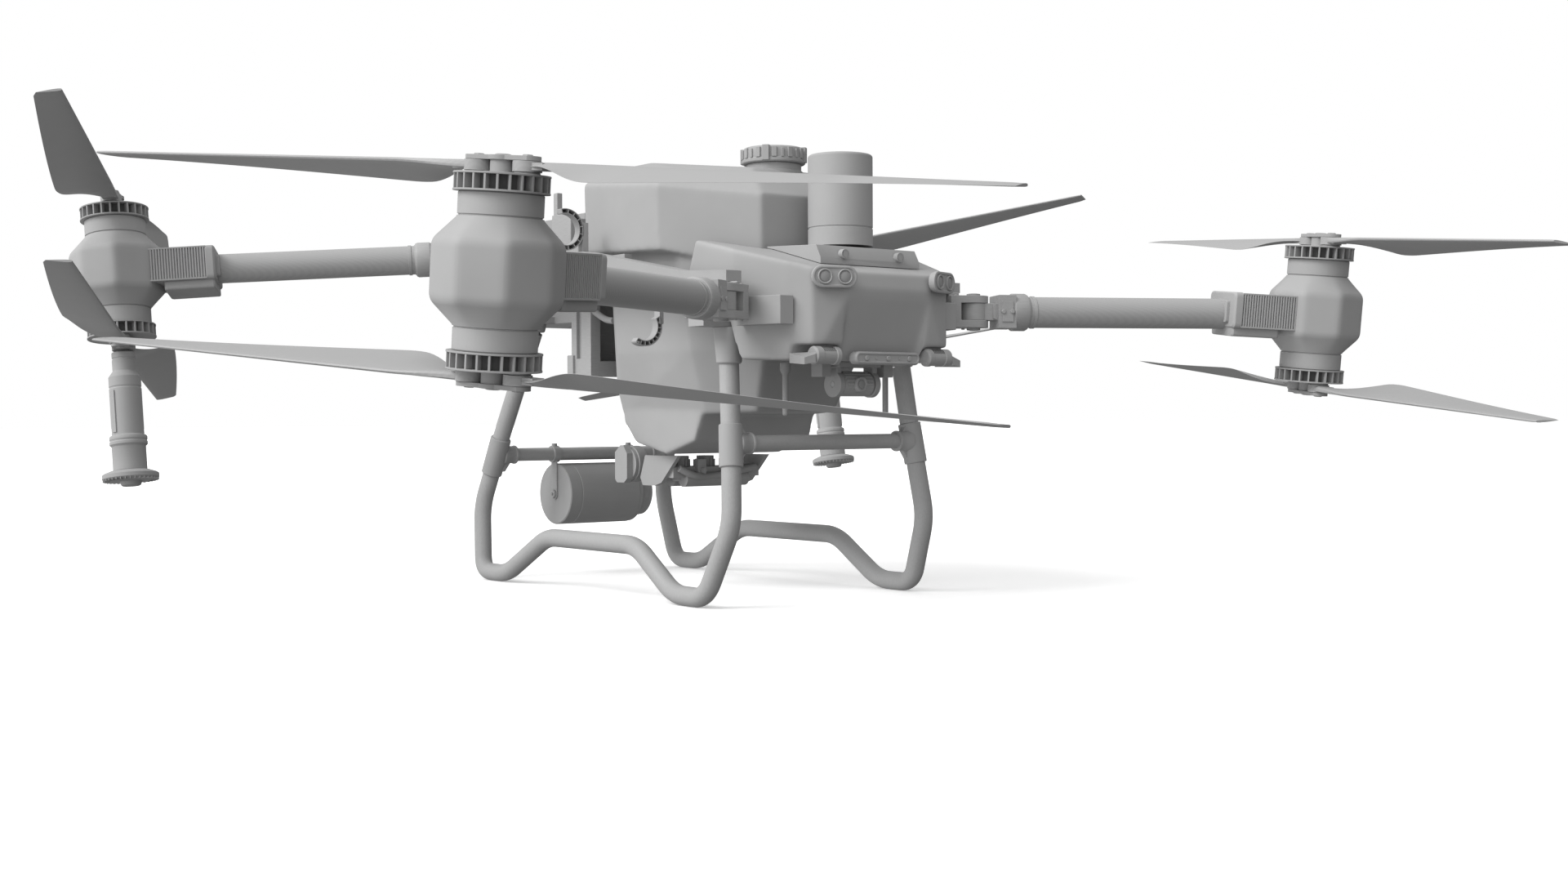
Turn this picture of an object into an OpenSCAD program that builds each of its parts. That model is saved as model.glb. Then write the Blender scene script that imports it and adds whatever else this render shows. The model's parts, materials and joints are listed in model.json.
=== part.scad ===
// Agricultural spray drone: four folding arms, eight coaxial rotors, a
// spray tank and two spray lances. Millimetres, +Z up, nose towards -Y,
// the drone's right side at -X. The origin is on the ground, midway
// between the four motors.

/* [Arms] */
// Distance of a front motor from the centre plane
front_motor_x = 846; // [780:1:900]
// Distance of a rear motor from the centre plane
rear_motor_x = 841; // [780:1:900]
// Distance of each motor ahead of or behind the centre
motor_y = 710; // [706:1:760]
// Height of a front motor's middle
front_motor_z = 497; // [490:1:510]
// Height of a rear motor's middle
rear_motor_z = 586; // [575:1:595]
// Outer diameter of an arm tube
arm_tube_d = 54.5; // [50:0.5:56]

/* [Rotors] */
// Rotor diameter
rotor_d = 1371.6; // [1200:1:1375]
// Forward lean of the front rotors
front_lean = 5.84; // [4:0.1:6]
// Backward lean of the rear rotors
rear_lean = 8.87; // [7:0.1:9]
// Angle of a resting front rotor from the cross direction
front_rest = 65.3; // [60:0.1:70]
// Angle of a resting rear rotor from the cross direction
rear_rest = 64.4; // [60:0.1:70]

/* [Tank] */
// Wall thickness of the spray tank
tank_wall = 4; // [3:0.5:6]
// Diameter of the filler bore
filler_d = 86; // [80:1:88]

/* [Landing gear] */
// Outer diameter of the skid tube
skid_d = 33; // [28:1:34]

/* [Hidden] */
$fn = 48;
eps = 0.01;
gap = 0.3;
bore_clear = 0.05;

shell_c = "gainsboro";
dark_c = "dimgray";
metal_c = "silver";
carbon_c = "gray";

// Arm geometry on the drone's right side; the left side is its mirror image
front_pivot = [-276, -409, front_motor_z];
rear_pivot = [-277, 409, 622];
function motor_at(front) = front ? [-front_motor_x, -motor_y, front_motor_z]
                                 : [-rear_motor_x, motor_y, rear_motor_z];
function pivot_at(front) = front ? front_pivot : rear_pivot;
function arm_vec(front) = motor_at(front) - pivot_at(front);
function arm_len(front) = norm(arm_vec(front));
function arm_az(front) = atan2(arm_vec(front)[1], arm_vec(front)[0]);
function arm_drop(front) = -asin(arm_vec(front)[2] / arm_len(front));
function lean(front) = front ? front_lean : -rear_lean;
function inward_az(front) = arm_az(front) + 180;

module side(corner) {
    if (corner == "fl" || corner == "rl") mirror([1, 0, 0]) children();
    else children();
}
function is_front(corner) = corner == "fr" || corner == "fl";

// Frame of an arm: origin at its fold pivot, +X out along the tube
module arm_frame(corner) {
    f = is_front(corner);
    side(corner) translate(pivot_at(f)) rotate([0, 0, arm_az(f)]) rotate([0, arm_drop(f), 0])
        children();
}
// Frame of a motor: origin at its middle, +Z along the rotor axis
module motor_frame(corner) {
    f = is_front(corner);
    side(corner) translate(motor_at(f)) rotate([lean(f), 0, 0]) children();
}

// A box given by its lowest and highest corners
module block(low, high) translate(low) cube(high - low);

// A convex solid round a list of points
module around(points) hull() for (p = points) translate(p) cube(1, center = true);
function both_sides(points) = concat(points, [for (p = points) [-p[0], p[1], p[2]]]);

// A tube swept along a route by rings of n sides
function unit(v) = v / norm(v);
function along(route, i) = unit(route[min(i + 1, len(route) - 1)] - route[max(i - 1, 0)]);
function side_of(t) = unit(cross(t, abs(t[0]) > 0.9 ? [0, 1, 0] : [1, 0, 0]));
module swept(route, r, n = 10) {
    last = len(route) - 1;
    rings = [for (i = [0:last])
        let (t = along(route, i), u = side_of(t), v = cross(t, u))
        for (k = [0:n - 1]) route[i] + r * (cos(360 * k / n) * u + sin(360 * k / n) * v)];
    skin(rings, n, last);
}
// Triangles between sections of n points each, closed at both ends
module skin(points, n, last) polyhedron(points, concat(
    [[for (k = [0:n - 1]) k]],
    [for (i = [0:last - 1]) for (k = [0:n - 1]) [i * n + k, (i + 1) * n + k, (i + 1) * n + (k + 1) % n]],
    [for (i = [0:last - 1]) for (k = [0:n - 1]) [i * n + k, (i + 1) * n + (k + 1) % n, i * n + (k + 1) % n]],
    [[for (k = [n - 1:-1:0]) last * n + k]]), 4);
// A route whose corners are rounded by quadratic curves that start d from each corner
function rounded(corners, d, steps = 4) = let (last = len(corners) - 1)
    concat([corners[0]],
        [for (i = [1:last - 1])
            let (a = corners[i] + d * unit(corners[i - 1] - corners[i]), b = corners[i],
                 c = corners[i] + d * unit(corners[i + 1] - corners[i]))
            for (k = [0:steps]) let (s = k / steps)
                (1 - s) * (1 - s) * a + 2 * s * (1 - s) * b + s * s * c],
        [corners[last]]);

// ---- rotors -------------------------------------------------------------

ring_low = 99.3;    // underside of the fin ring above the motor's middle
ring_high = 123;    // top of the fin ring
ring_r = 61;
shaft_r = 8;
shaft_top = 143;    // end of the bore through the hub
shaft_end = 118;    // end of the motor's own shaft
root_low = 126;     // underside of a blade's root eye
root_h = 13.4;
root_r = 15;
plate_low = 139.8;
plate_h = 6;
pin_out = 37;       // blade fold pin's distance from the rotor axis
pin_r = 4;
blade_r = rotor_d / 2;

// Motor bell with its cooling fins, blade clamp and fold pins
module hub(corner, upper) color(dark_c) motor_frame(corner) mirror([0, 0, upper ? 0 : 1])
    rotate([0, 0, rotor_turn(is_front(corner))]) difference() {
        union() {
            translate([0, 0, ring_low]) cylinder(r = 47, h = ring_high - ring_low);
            for (z = [ring_low, ring_high - 2]) translate([0, 0, z]) cylinder(r = ring_r, h = 2);
            for (k = [0:23]) rotate([0, 0, 15 * k])
                block([46, -1.4, ring_low + 1], [60, 1.4, ring_high - 1]);
            translate([0, 0, ring_high - 1]) cylinder(r = 16, h = plate_low - ring_high + 2);
            for (s = [-1, 1]) translate([s * pin_out, 0, 0]) {
                translate([0, 0, ring_high - 1]) cylinder(r = 11, h = root_low - gap - ring_high + 1);
                translate([0, 0, ring_high - 1]) cylinder(r = pin_r, h = plate_low - ring_high + 2);
                translate([0, 0, plate_low]) cylinder(r = 14, h = plate_h);
            }
            block([-pin_out, -12, plate_low], [pin_out, 12, plate_low + plate_h]);
            translate([0, 0, plate_low]) cylinder(r = 17, h = plate_h + 2);
        }
        translate([0, 0, ring_low - 1])
            cylinder(r = shaft_r + bore_clear, h = shaft_top - ring_low + 1 + gap);
        if (!upper && !is_front(corner)) translate([0, 0, ring_low - 1])
            cylinder(r = shaft_r + bore_clear, h = 60);
    }
function rotor_turn(front) = front ? -front_rest : rear_rest;

// Blade section: chord, pitch and thickness at a radius
function chord(r) = let (s = (r - 50) / (blade_r - 50))
    s < 0.22 ? 26 + 66 * sin(90 * s / 0.22) : 92 - 50 * pow((s - 0.22) / 0.78, 1.15);
function pitch(r) = let (s = (r - 50) / (blade_r - 50)) s < 0.15 ? 107 * s : 16 - 11 * (s - 0.15) / 0.85;
function thick(r) = let (s = (r - 50) / (blade_r - 50)) s < 0.2 ? 11 - 20 * s : 7 - 5.5 * (s - 0.2) / 0.8;
lead = 15;          // distance of the straight leading edge from the blade's pitch axis
stations = [46, 70, 100, 135, 175, 220, 280, 350, 430, 520, 610, blade_r];
// Eight points round one section, nose first
foil = [[0, 0], [0.15, 0.45], [0.45, 0.5], [0.8, 0.2], [1, 0], [0.8, -0.15], [0.45, -0.4], [0.15, -0.4]];
module blade_shape() {
    n = len(foil);
    last = len(stations) - 1;
    points = [for (r = stations) for (p = foil)
        let (x = lead - p[0] * chord(r), z = p[1] * thick(r), a = pitch(r))
        [r, x * cos(a) - z * sin(a), root_low + root_h / 2 + x * sin(a) + z * cos(a)]];
    skin(points, n, last);
}
// Blade a points along the rotor's own +X at rest and blade b the other way
module blade(corner, upper, second) color(carbon_c) motor_frame(corner)
    mirror([0, 0, upper ? 0 : 1]) rotate([0, 0, rotor_turn(is_front(corner)) + (second ? 180 : 0)])
    difference() {
        union() {
            blade_shape();
            translate([pin_out, 0, root_low]) cylinder(r = root_r, h = root_h);
        }
        translate([0, 0, root_low - 1]) cylinder(r = 17.5, h = root_h + 2);
        translate([pin_out, 0, root_low - 1]) cylinder(r = pin_r + bore_clear, h = root_h + 2);
    }

// ---- arms ---------------------------------------------------------------

band_r = 54;
pod_r = 83;
pod_half = 37;
pod_cone = 67;
esc_near = 56;
esc_far = 180;
esc_half_w = 55;
esc_half_h = 31;

module pod_body() intersection() {
    rotate_extrude() polygon([[0, -99], [band_r, -99], [band_r, -pod_cone], [pod_r + 3, -pod_half],
        [pod_r + 3, pod_half], [band_r, pod_cone], [band_r, 99], [0, 99]]);
    translate([0, 0, -150]) linear_extrude(300)
        polygon([for (k = [0:7]) (pod_r + 3) * [cos(45 * k + 22.5), sin(45 * k + 22.5)]]);
}
module esc_block() {
    difference() {
        block([esc_near, -esc_half_w, -esc_half_h], [esc_far - 30, esc_half_w, esc_half_h]);
        for (k = [0:12]) for (s = [-1, 1]) translate([esc_near + 10 + 6.2 * k, s * esc_half_w, 0])
            cube([3, 8, 2 * esc_half_h - 6], center = true);
    }
    block([esc_far - 30, -esc_half_w - 1, -esc_half_h - 1], [esc_far, esc_half_w + 1, esc_half_h + 1]);
    block([esc_near + 30, -esc_half_w + 8, -esc_half_h - 16],
          [esc_far - 2, esc_half_w - 8, -esc_half_h - 1 + eps]);
}
// Motor housing, its two shafts and the speed controller beside it
module motor_pod(corner) color(shell_c) motor_frame(corner) {
    difference() {
        pod_body();
        rotate([0, 0, inward_az(is_front(corner))])
            block([esc_near, -esc_half_w - 1, -esc_half_h - 16], [200, esc_half_w + 1, esc_half_h + 1]);
    }
    for (s = [0, 1]) mirror([0, 0, s]) translate([0, 0, 99 - eps])
        cylinder(r = shaft_r, h = shaft_end - 99 + eps);
    rotate([0, 0, inward_az(is_front(corner))]) esc_block();
}

collar_in = 30;
collar_out = 96;
knuckle_r = 24;
knuckle_h = 30;
// Carbon tube, its root collar and the knuckle that turns on the fold pin
module arm(corner) color(carbon_c) {
    f = is_front(corner);
    difference() {
        arm_frame(corner) translate([60, 0, 0]) rotate([0, 90, 0])
            cylinder(d = arm_tube_d, h = arm_len(f) - 60);
        motor_frame(corner) rotate([0, 0, inward_az(f)])
            block([-200, -200, -150], [esc_far, 200, 150]);
        arm_frame(corner) block([0, -100, -100], [collar_out - 22, 100, 100]);
    }
    color(metal_c) arm_frame(corner) difference() {
        union() {
            translate([collar_out - 30, 0, 0]) rotate([0, 90, 0]) cylinder(r = 33, h = 30);
            block([collar_in + 8, -29, -29], [collar_out - 26, 29, 29]);
            translate([0, 0, -knuckle_h / 2 + gap]) cylinder(r = knuckle_r, h = knuckle_h - 2 * gap);
            block([10, -18, -knuckle_h / 2 + gap], [collar_in + 10, 18, knuckle_h / 2 - gap]);
        }
        translate([0, 0, -50]) cylinder(r = 8 + bore_clear, h = 100);
        translate([collar_out - 22, 0, 0]) rotate([0, 90, 0]) cylinder(d = arm_tube_d, h = 40);
    }
}
// Clevis plates on the body and the fold pin through them
module arm_hinge(corner) color(metal_c) arm_frame(corner) {
    difference() {
        union() {
            for (s = [0, 1]) mirror([0, 0, s]) translate([0, 0, knuckle_h / 2]) {
                cylinder(r = 26, h = 13);
                translate([-48, -26, 0]) cube([48, 52, 13]);
            }
            block([-48, -26, -knuckle_h / 2 - 13], [-29, 26, knuckle_h / 2 + 13]);
            if (is_front(corner)) block([-48, -14, 20], [-30, 14, 33.3]);
            else block([-48, -14, -33], [-30, 14, -20]);
        }
        translate([0, 0, -50]) cylinder(r = 8, h = 100);
    }
    translate([0, 0, -knuckle_h / 2 - 17]) cylinder(r = 8, h = knuckle_h + 34);
    for (s = [0, 1]) mirror([0, 0, s]) translate([0, 0, knuckle_h / 2 + 13])
        cylinder(r = 12, h = 4);
}

// ---- spray lances -------------------------------------------------------

module lance(corner) color(shell_c) motor_frame(corner) rotate_extrude()
    polygon([[0, -shaft_end], [shaft_r, -shaft_end], [shaft_r, -149.5], [20.5, -149.5], [20.5, -185], [28.5, -196], [28.5, -305], [33.5, -308],
        [33.5, -322], [30, -325], [30, -369.5], [6, -369.5], [6, -378], [0, -378]]);
module spray_disc(corner) color(dark_c) motor_frame(corner) difference() {
    rotate_extrude() polygon([[0, -370], [36, -370], [50, -376], [50, -385], [36, -389], [20, -390],
        [17, -398], [0, -398]]);
    translate([0, 0, -378.3]) cylinder(r = 6 + bore_clear, h = 20);
}

// ---- tank ---------------------------------------------------------------

tank_upper = [[-110, -300, 690], [-222, -150, 712], [-200, 111, 738], [-150, 163, 738],
    [-90, -258, 724], [-180, -130, 746], [-165, 92, 762], [-120, 140, 770], [-60, 100, 788],
    [-80, -236, 742], [-95, -160, 748],
    [-110, -300, 560], [-218, -150, 600], [-196, 111, 612], [-150, 163, 612]];
tank_lower = [[-110, -300, 640], [-194, -172, 640], [-180, 60, 640], [-130, 120, 640],
    [-106, -300, 420], [-168, -172, 430], [-162, 62, 430], [-122, 116, 430],
    [-86, -253, 322], [-125, -158, 319], [-140, 96, 364], [-130, 92, 320], [-100, 112, 364]];
tank_sump = [[-127, -158, 340], [-130, -130, 272], [-130, -44, 248], [-125, 60, 268],
    [-130, 90, 306], [-134, 92, 350]];
cap_at = [0, -193];
neck_top = 756;
function shrunk(points, wall) = [for (p = points) [p[0] + wall * 1.4,
    p[1] + wall * 1.4 * (p[1] < -75 ? 1 : -1), p[2] + wall * 1.4 * (p[2] < 500 ? 1 : p[2] < 645 ? 0 : -1)]];
module tank() color(shell_c) difference() {
    union() {
        difference() {
            union() {
                around(both_sides(tank_upper));
                around(both_sides(tank_lower));
                around(both_sides(tank_sump));
            }
            around(both_sides(shrunk(tank_upper, tank_wall)));
            around(both_sides(shrunk(tank_lower, tank_wall)));
            around(both_sides(shrunk(tank_sump, tank_wall)));
        }
        translate([cap_at[0], cap_at[1], neck_low]) cylinder(r = 51, h = neck_top - neck_low);
    }
    translate([cap_at[0], cap_at[1], neck_low - 20]) cylinder(d = filler_d, h = 100);
}
neck_low = 722;
cap_low = neck_top + 0.5;
cap_high = 786;
module tank_cap() color(dark_c) translate([cap_at[0], cap_at[1], 0]) {
    difference() {
        translate([0, 0, cap_low]) cylinder(r = 56, h = cap_high - cap_low - 3);
        translate([0, 0, cap_low - 1]) cylinder(r = filler_d / 2 + 2, h = 8);
    }
    translate([0, 0, cap_high - 3 - eps]) cylinder(r = 50, h = 3);
    for (k = [0:11]) rotate([0, 0, 30 * k + 8]) block([54, -4, cap_low + 2], [59, 4, cap_high - 5]);
}

// ---- frame --------------------------------------------------------------

beam_in = 226;
beam_out = 256;
beam_side = [[-396, 530.5], [-292, 530.5], [-292, 514], [30, 568], [466, 562], [466, 588],
    [335, 588], [335, 608], [30, 608], [-270, 555], [-396, 548]];
// Side beams, cross members and the shelves that carry the tank
module center_frame() color(dark_c) {
    for (s = [0, 1]) mirror([s, 0, 0]) {
        difference() {
            translate([-beam_out, 0, 0]) rotate([90, 0, 90]) linear_extrude(beam_out - beam_in)
                polygon(beam_side);
            for (k = [0:2]) translate([-beam_out - 1, 60 + 90 * k, 587])
                rotate([0, 90, 0]) cylinder(r = 9, h = 60);
        }
        block([-beam_in, -60, 575], [-210, 100, 599]);
        block([-beam_in, 172, 568], [-152, 190, 600]);
        block([-beam_out, -332, 470 - eps], [-beam_in, -292 + eps, 534]);
        block([-beam_out, -334, 462], [-172, -292, 470]);
    }
    difference() {
        block([-beam_in, 446, 566], [beam_in, 466, 588]);
        for (x = [-100, 100]) translate([x, 456, 560]) cylinder(r = 2.75, h = 40);
    }
}
frame_front = 170;
frame_back = 238;
frame_half = 150;
battery_front = 280;
battery_back = 410;
battery_half = 132;
shelf_z = 510;
// Battery cage with its guides, shelf and connector plate
module rear_frame() color(metal_c) difference() {
    union() {
        block([-frame_half, frame_front, 392], [frame_half, frame_back, 640]);
        block([-frame_half, frame_back - eps, 494], [frame_half, 444, shelf_z]);
        for (s = [0, 1]) mirror([s, 0, 0]) {
            block([-frame_half, frame_back - eps, 494], [-frame_half + 14, 306, 702]);
            block([-frame_half, 420, 494], [-frame_half + 14, 444, 600]);
            block([-frame_half - 48, 296, 494], [-frame_half + eps, 356, 508]);
            block([-frame_half - 6, frame_back - 14, 386], [-frame_half + eps, frame_back + 6, 432]);
            block([-frame_half, 286, 702 - eps], [-frame_half + 12, 300, 744]);
        }
    }
    for (s = [0, 1]) mirror([s, 0, 0])
        block([-frame_half - 1, frame_back - 34, 425], [-frame_half + 8, frame_back - 18, 620]);
    block([-frame_half + 22, frame_front - 1, 420], [-18, frame_back - 12, 612]);
    block([18, frame_front - 1, 420], [frame_half - 22, frame_back - 12, 612]);
    block([-60, 300, 480], [60, 400, 520]);
}
module battery() color(dark_c) {
    difference() {
        block([-battery_half, battery_front, shelf_z + 0.5], [battery_half, battery_back, 698]);
        for (s = [0, 1]) mirror([s, 0, 0]) for (k = [0:5])
            block([-battery_half - 1, battery_front + 40, 540 + 24 * k],
                  [-battery_half + 5, battery_back - 20, 551 + 24 * k]);
        block([-34, battery_front + 30, shelf_z], [34, battery_front + 70, shelf_z + 16]);
    }
    for (s = [-1, 1]) block([s * 52 - 8, battery_front + 50, 697], [s * 52 + 8, battery_front + 80, 712]);
    block([-60, battery_front + 50, 704], [60, battery_front + 80, 716]);
}

// ---- nose ---------------------------------------------------------------

nose_plan = [[-204, -150], [-206, -235], [-206, -345], [-168, -440], [-146, -478], [-84, -500],
    [84, -500], [146, -478], [168, -440], [206, -345], [206, -235], [204, -150]];
nose_profile = [[-240, 611], [-330, 592], [-455, 560], [-492, 548], [-500, 520],
    [-484, 430], [-468, 404], [-358, 407], [-335, 470], [-218, 556]];
tank_gap = [[-118, -310], [-231, -157], [-231, 200], [231, 200], [231, -157], [118, -310]];
nose_wall = 5;
nose_plan_in = [[-199, -140], [-201, -235], [-201, -344], [-163, -437], [-142, -472], [-82, -494],
    [82, -494], [142, -472], [163, -437], [201, -344], [201, -235], [199, -140]];
nose_profile_in = [[-140, 612], [-222, 608], [-329, 586], [-453, 554], [-486, 543], [-493, 519],
    [-474, 440], [-450, 420], [-354, 413], [-331, 475], [-212, 563], [-140, 566]];
lamp_y = -472;
lamp_z = 413;
bar_z = 409;
module profile_solid(points, half) rotate([90, 0, 90]) translate([0, 0, -half])
    linear_extrude(2 * half) polygon(points);
module nose_fairing() color(shell_c) difference() {
    intersection() {
        linear_extrude(1000) polygon(nose_plan);
        profile_solid(nose_profile, 300);
    }
    intersection() {
        linear_extrude(1000) polygon(nose_plan_in);
        profile_solid(nose_profile_in, 300);
    }
    linear_extrude(1000) polygon(tank_gap);
    for (s = [0, 1]) mirror([s, 0, 0]) {
        translate([-148, lamp_y, lamp_z]) rotate([0, 90, 0]) cylinder(r = 12.5, h = 58);
        block([-170, lamp_y - 10, 394], [-146, lamp_y + 34, 418]);
    }
    block([-74, lamp_y - 26, 380], [74, lamp_y + 4, bar_z + 11]);
    // Recessed panels between the front corners, upper and lower
    block([-88, -502, 420], [88, -496.5, 512]);
}
// Two lens housings of two cameras each at the nose corners
module vision_modules() color(dark_c) for (s = [0, 1]) mirror([s, 0, 0])
    translate([-115, -490, 537]) rotate([0, 0, -20]) {
        difference() {
            rotate([90, 0, 0]) translate([0, 0, 3]) linear_extrude(10) union() {
                square([44, 34], center = true);
                for (u = [-22, 22]) translate([u, 0]) circle(r = 17);
            }
            for (u = [-17, 17]) translate([u, 0, 0]) rotate([90, 0, 0]) translate([0, 0, 9])
                cylinder(r = 13, h = 10);
        }
        for (u = [-17, 17]) translate([u, 0, 0]) rotate([90, 0, 0]) translate([0, 0, 9])
            cylinder(r = 10, h = 6);
    }
// Two flood lamps and the sensor bar between them
module nose_lamps() color(metal_c) {
    for (s = [0, 1]) mirror([s, 0, 0]) {
        difference() {
            translate([-146.5, lamp_y, lamp_z]) rotate([0, 90, 0]) cylinder(r = 12, h = 55);
            block([-141, lamp_y - 13, lamp_z - 1.5], [-97, lamp_y - 10, lamp_z + 1.5]);
        }
        block([-168, lamp_y - 8, 396], [-146, lamp_y + 32, 417]);
    }
    difference() {
        translate([-62, lamp_y - 18, bar_z - 10]) cube([124, 20, 20]);
        block([-56, lamp_y - 19, bar_z - 6], [56, lamp_y - 16, bar_z + 6]);
    }
    for (s = [-1, 1]) translate([s * 60, lamp_y + 1, bar_z]) rotate([90, 0, 0]) cylinder(r = 10, h = 17);
    for (s = [-1, 1]) translate([s * 44, lamp_y - 14, bar_z]) rotate([90, 0, 0]) cylinder(r = 4.5, h = 6);
}
module radar_tray() color(shell_c) difference() {
    union() {
        intersection() {
            block([-108, -452, 540], [108, -312, 599]);
            profile_solid([[-312, 599], [-440, 593], [-452, 572], [-452, 561.7], [-330, 592.9],
                [-312, 596.7]], 108);
        }
        for (s = [-1, 1]) translate([s * 60, -452, 579]) rotate([90, 0, 0]) cylinder(r = 8, h = 6);
    }
    translate([0, -374, 560]) cylinder(r = 20, h = 60);
}
module front_radar() color(shell_c) translate([0, -374, 0]) difference() {
    union() {
        translate([0, 0, 599.2]) cylinder(r = 54.5, h = 30);
        translate([0, 0, 629]) cylinder(r = 53.3, h = 1.6);
        translate([0, 0, 630.4]) cylinder(r = 54.5, h = 119.6);
        translate([0, 0, 750 - eps]) cylinder(r = 51, h = 3);
    }
    translate([0, 0, 598]) cylinder(r = 46, h = 120);
}
gimbal_z = 368;
gimbal_y = -404;
module gimbal_yoke() color(dark_c) {
    block([-46, gimbal_y - 20, 396], [46, gimbal_y + 20, 404.9]);
    for (s = [0, 1]) mirror([s, 0, 0]) difference() {
        union() {
            translate([-44, gimbal_y, gimbal_z]) rotate([0, 90, 0]) cylinder(r = 22, h = 10);
            block([-44, gimbal_y - 12, gimbal_z], [-34, gimbal_y + 12, 397]);
        }
        translate([-45, gimbal_y, gimbal_z]) rotate([0, 90, 0]) cylinder(r = 5, h = 20);
    }
    for (s = [-1, 1]) block([s * 68 - 10, gimbal_y - 14, 380], [s * 68 + 10, gimbal_y + 14, 404.9]);
}
module gimbal_camera() color(metal_c) translate([0, gimbal_y, gimbal_z]) {
    translate([-33, 0, 0]) rotate([0, 90, 0]) cylinder(r = 20, h = 66);
    translate([-44, 0, 0]) rotate([0, 90, 0]) cylinder(r = 5 - bore_clear, h = 88);
    rotate([90, 0, 0]) cylinder(r = 13, h = 25);
    for (k = [1:6]) rotate([50 * k + 20, 0, 0]) block([-30, -22.5, -3], [30, -19, 3]);
}
module antennas() color(dark_c) for (s = [-1, 1]) translate([s * 110, -362, 0]) {
    translate([0, 0, 320]) cylinder(r = 5, h = 78);
    translate([0, 0, 320]) sphere(r = 5);
    translate([0, 0, 392]) cylinder(r = 9, h = 12);
}

// ---- landing gear -------------------------------------------------------

foot_z = skid_d / 2;
skid_route = rounded([[-204, 449, 205], [-216, 464, 143], [-229, 438, foot_z], [-228, 349, foot_z],
    [-225, 204, 93], [-225, -91, 93], [-228, -209, foot_z], [-229, -299, foot_z],
    [-213, -350, 137], [-203.7, -337, 232]], 30);
front_tee = [[-203.7, -337, 232], [-197, -327, 302]];
rear_tee = [[-204, 449, 205], [-198, 421, 275]];
front_leg_top = [-190, -314, 402];
rear_leg_top = [-176, 331, 478];
tube_r = 13;
cross_front = [-332, 271];
cross_rear = [434, 242];
module rod(a, b, r) {
    v = b - a;
    translate(a) rotate([0, acos(v[2] / norm(v)), atan2(v[1], v[0])]) cylinder(r = r, h = norm(v));
}
module skids() color(metal_c) for (s = [0, 1]) mirror([s, 0, 0]) difference() {
    union() {
        swept(skid_route, foot_z);
        rod(front_tee[1], front_leg_top, foot_z);
        rod(rear_tee[1], rear_leg_top, foot_z);
    }
    rod(front_tee[0], front_tee[1], foot_z + 3.6);
    rod(rear_tee[0], rear_tee[1], foot_z + 3.6);
}
module cross_tubes() color(metal_c) for (c = [cross_front, cross_rear])
    translate([-160, c[0], c[1]]) rotate([0, 90, 0]) cylinder(r = tube_r, h = 320);
module tee(ends, x, c) {
    rod(ends[0], ends[1], foot_z + 3.5);
    translate([x, c[0], c[1]]) rotate([0, 90, 0]) cylinder(r = tube_r + 4, h = -160 - x);
    translate([x, c[0] - 4, c[1]]) rotate([90, 0, 0]) translate([0, 0, -8])
        linear_extrude(8) polygon([[0, -34], [16, -34], [36, 0], [16, 34], [0, 34]]);
}
module leg_joints() color(shell_c) for (s = [0, 1]) mirror([s, 0, 0]) {
    tee(front_tee, -200.3, cross_front);
    tee(rear_tee, -200.8, cross_rear);
    front_socket();
    rear_socket();
}
module front_socket() translate([-190, -314, 402]) cylinder(r1 = 21, r2 = 26, h = 59.7);
module rear_socket() translate([-176, 331, 478.3]) cylinder(r1 = 21, r2 = 24, h = 15.4);

// ---- under the body -----------------------------------------------------

radar_y = 434;
radar_z = 162;
radar_r = 61;
radar_low = -68;
radar_high = 106;
module rear_radar() color(dark_c) {
    translate([radar_low, radar_y, radar_z]) rotate([0, 90, 0])
        cylinder(r = radar_r, h = radar_high - radar_low);
    translate([radar_high - eps, radar_y, radar_z]) rotate([0, 90, 0]) cylinder(r = radar_r - 12, h = 31);
}
// Straps that hang the rear radar from the cross tube, with their bolts
module rear_radar_bracket() color(metal_c) {
    for (x = [radar_low - 2.6, radar_high + 0.1]) {
        strap(x);
        difference() {
            translate([x - 6, cross_rear[0], cross_rear[1]]) rotate([0, 90, 0]) cylinder(r = 16.5, h = 14.5);
            translate([x - 30, cross_rear[0], cross_rear[1]]) rotate([0, 90, 0]) cylinder(r = tube_r, h = 60);
        }
        translate([x + 1.25, cross_rear[0], cross_rear[1] + 16]) cylinder(r = 5.5, h = 5);
    }
    translate([radar_low - 7, radar_y, radar_z]) rotate([0, 90, 0]) cylinder(r = 8, h = 5);
}
module strap(x) difference() {
    rotate([90, 0, 90]) translate([0, 0, x]) linear_extrude(2.5) union() {
        translate([radar_y, radar_z]) circle(r = 11);
        translate([radar_y - 10, radar_z]) square([20, cross_rear[1] - radar_z]);
    }
    translate([x - 30, cross_rear[0], cross_rear[1]]) rotate([0, 90, 0]) cylinder(r = 16.4, h = 60);
    if (x > 0) translate([x - 1, radar_y, radar_z]) rotate([0, 90, 0]) cylinder(r = radar_r - 11.8, h = 9);
}
module rear_sensor() color(dark_c) translate([-118, 119, 228]) {
    rotate([90, 0, 90]) linear_extrude(14)
        polygon([[-20, -26], [-10, -34], [14, -34], [20, -28], [20, 22], [2, 35], [-8, 35], [-20, 20]]);
    translate([13, 0, 0]) rotate([0, 90, 0]) cylinder(r = 31, h = 8);
    translate([20, 0, 0]) rotate([0, 90, 0]) cylinder(r = 34, h = 18);
    translate([34, -50, -6]) cube([4, 50, 14]);
}
module pump_base() color(dark_c) {
    for (s = [0, 1]) mirror([s, 0, 0]) translate([-104, 0, 0]) rotate([90, 0, 90]) linear_extrude(8)
        polygon([[68, 190], [76, 204], [60, 245], [-44, 245], [8, 196], [30, 190]]);
    block([-97, -20, 205], [97, 58, 224]);
    for (y = [-12, 26]) translate([-70, y, 203]) rotate([0, 90, 0]) cylinder(r = 15, h = 140);
    for (x = [-62, -6, 48]) translate([x, 8, 200]) cylinder(r = 16, h = 44);
}

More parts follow.
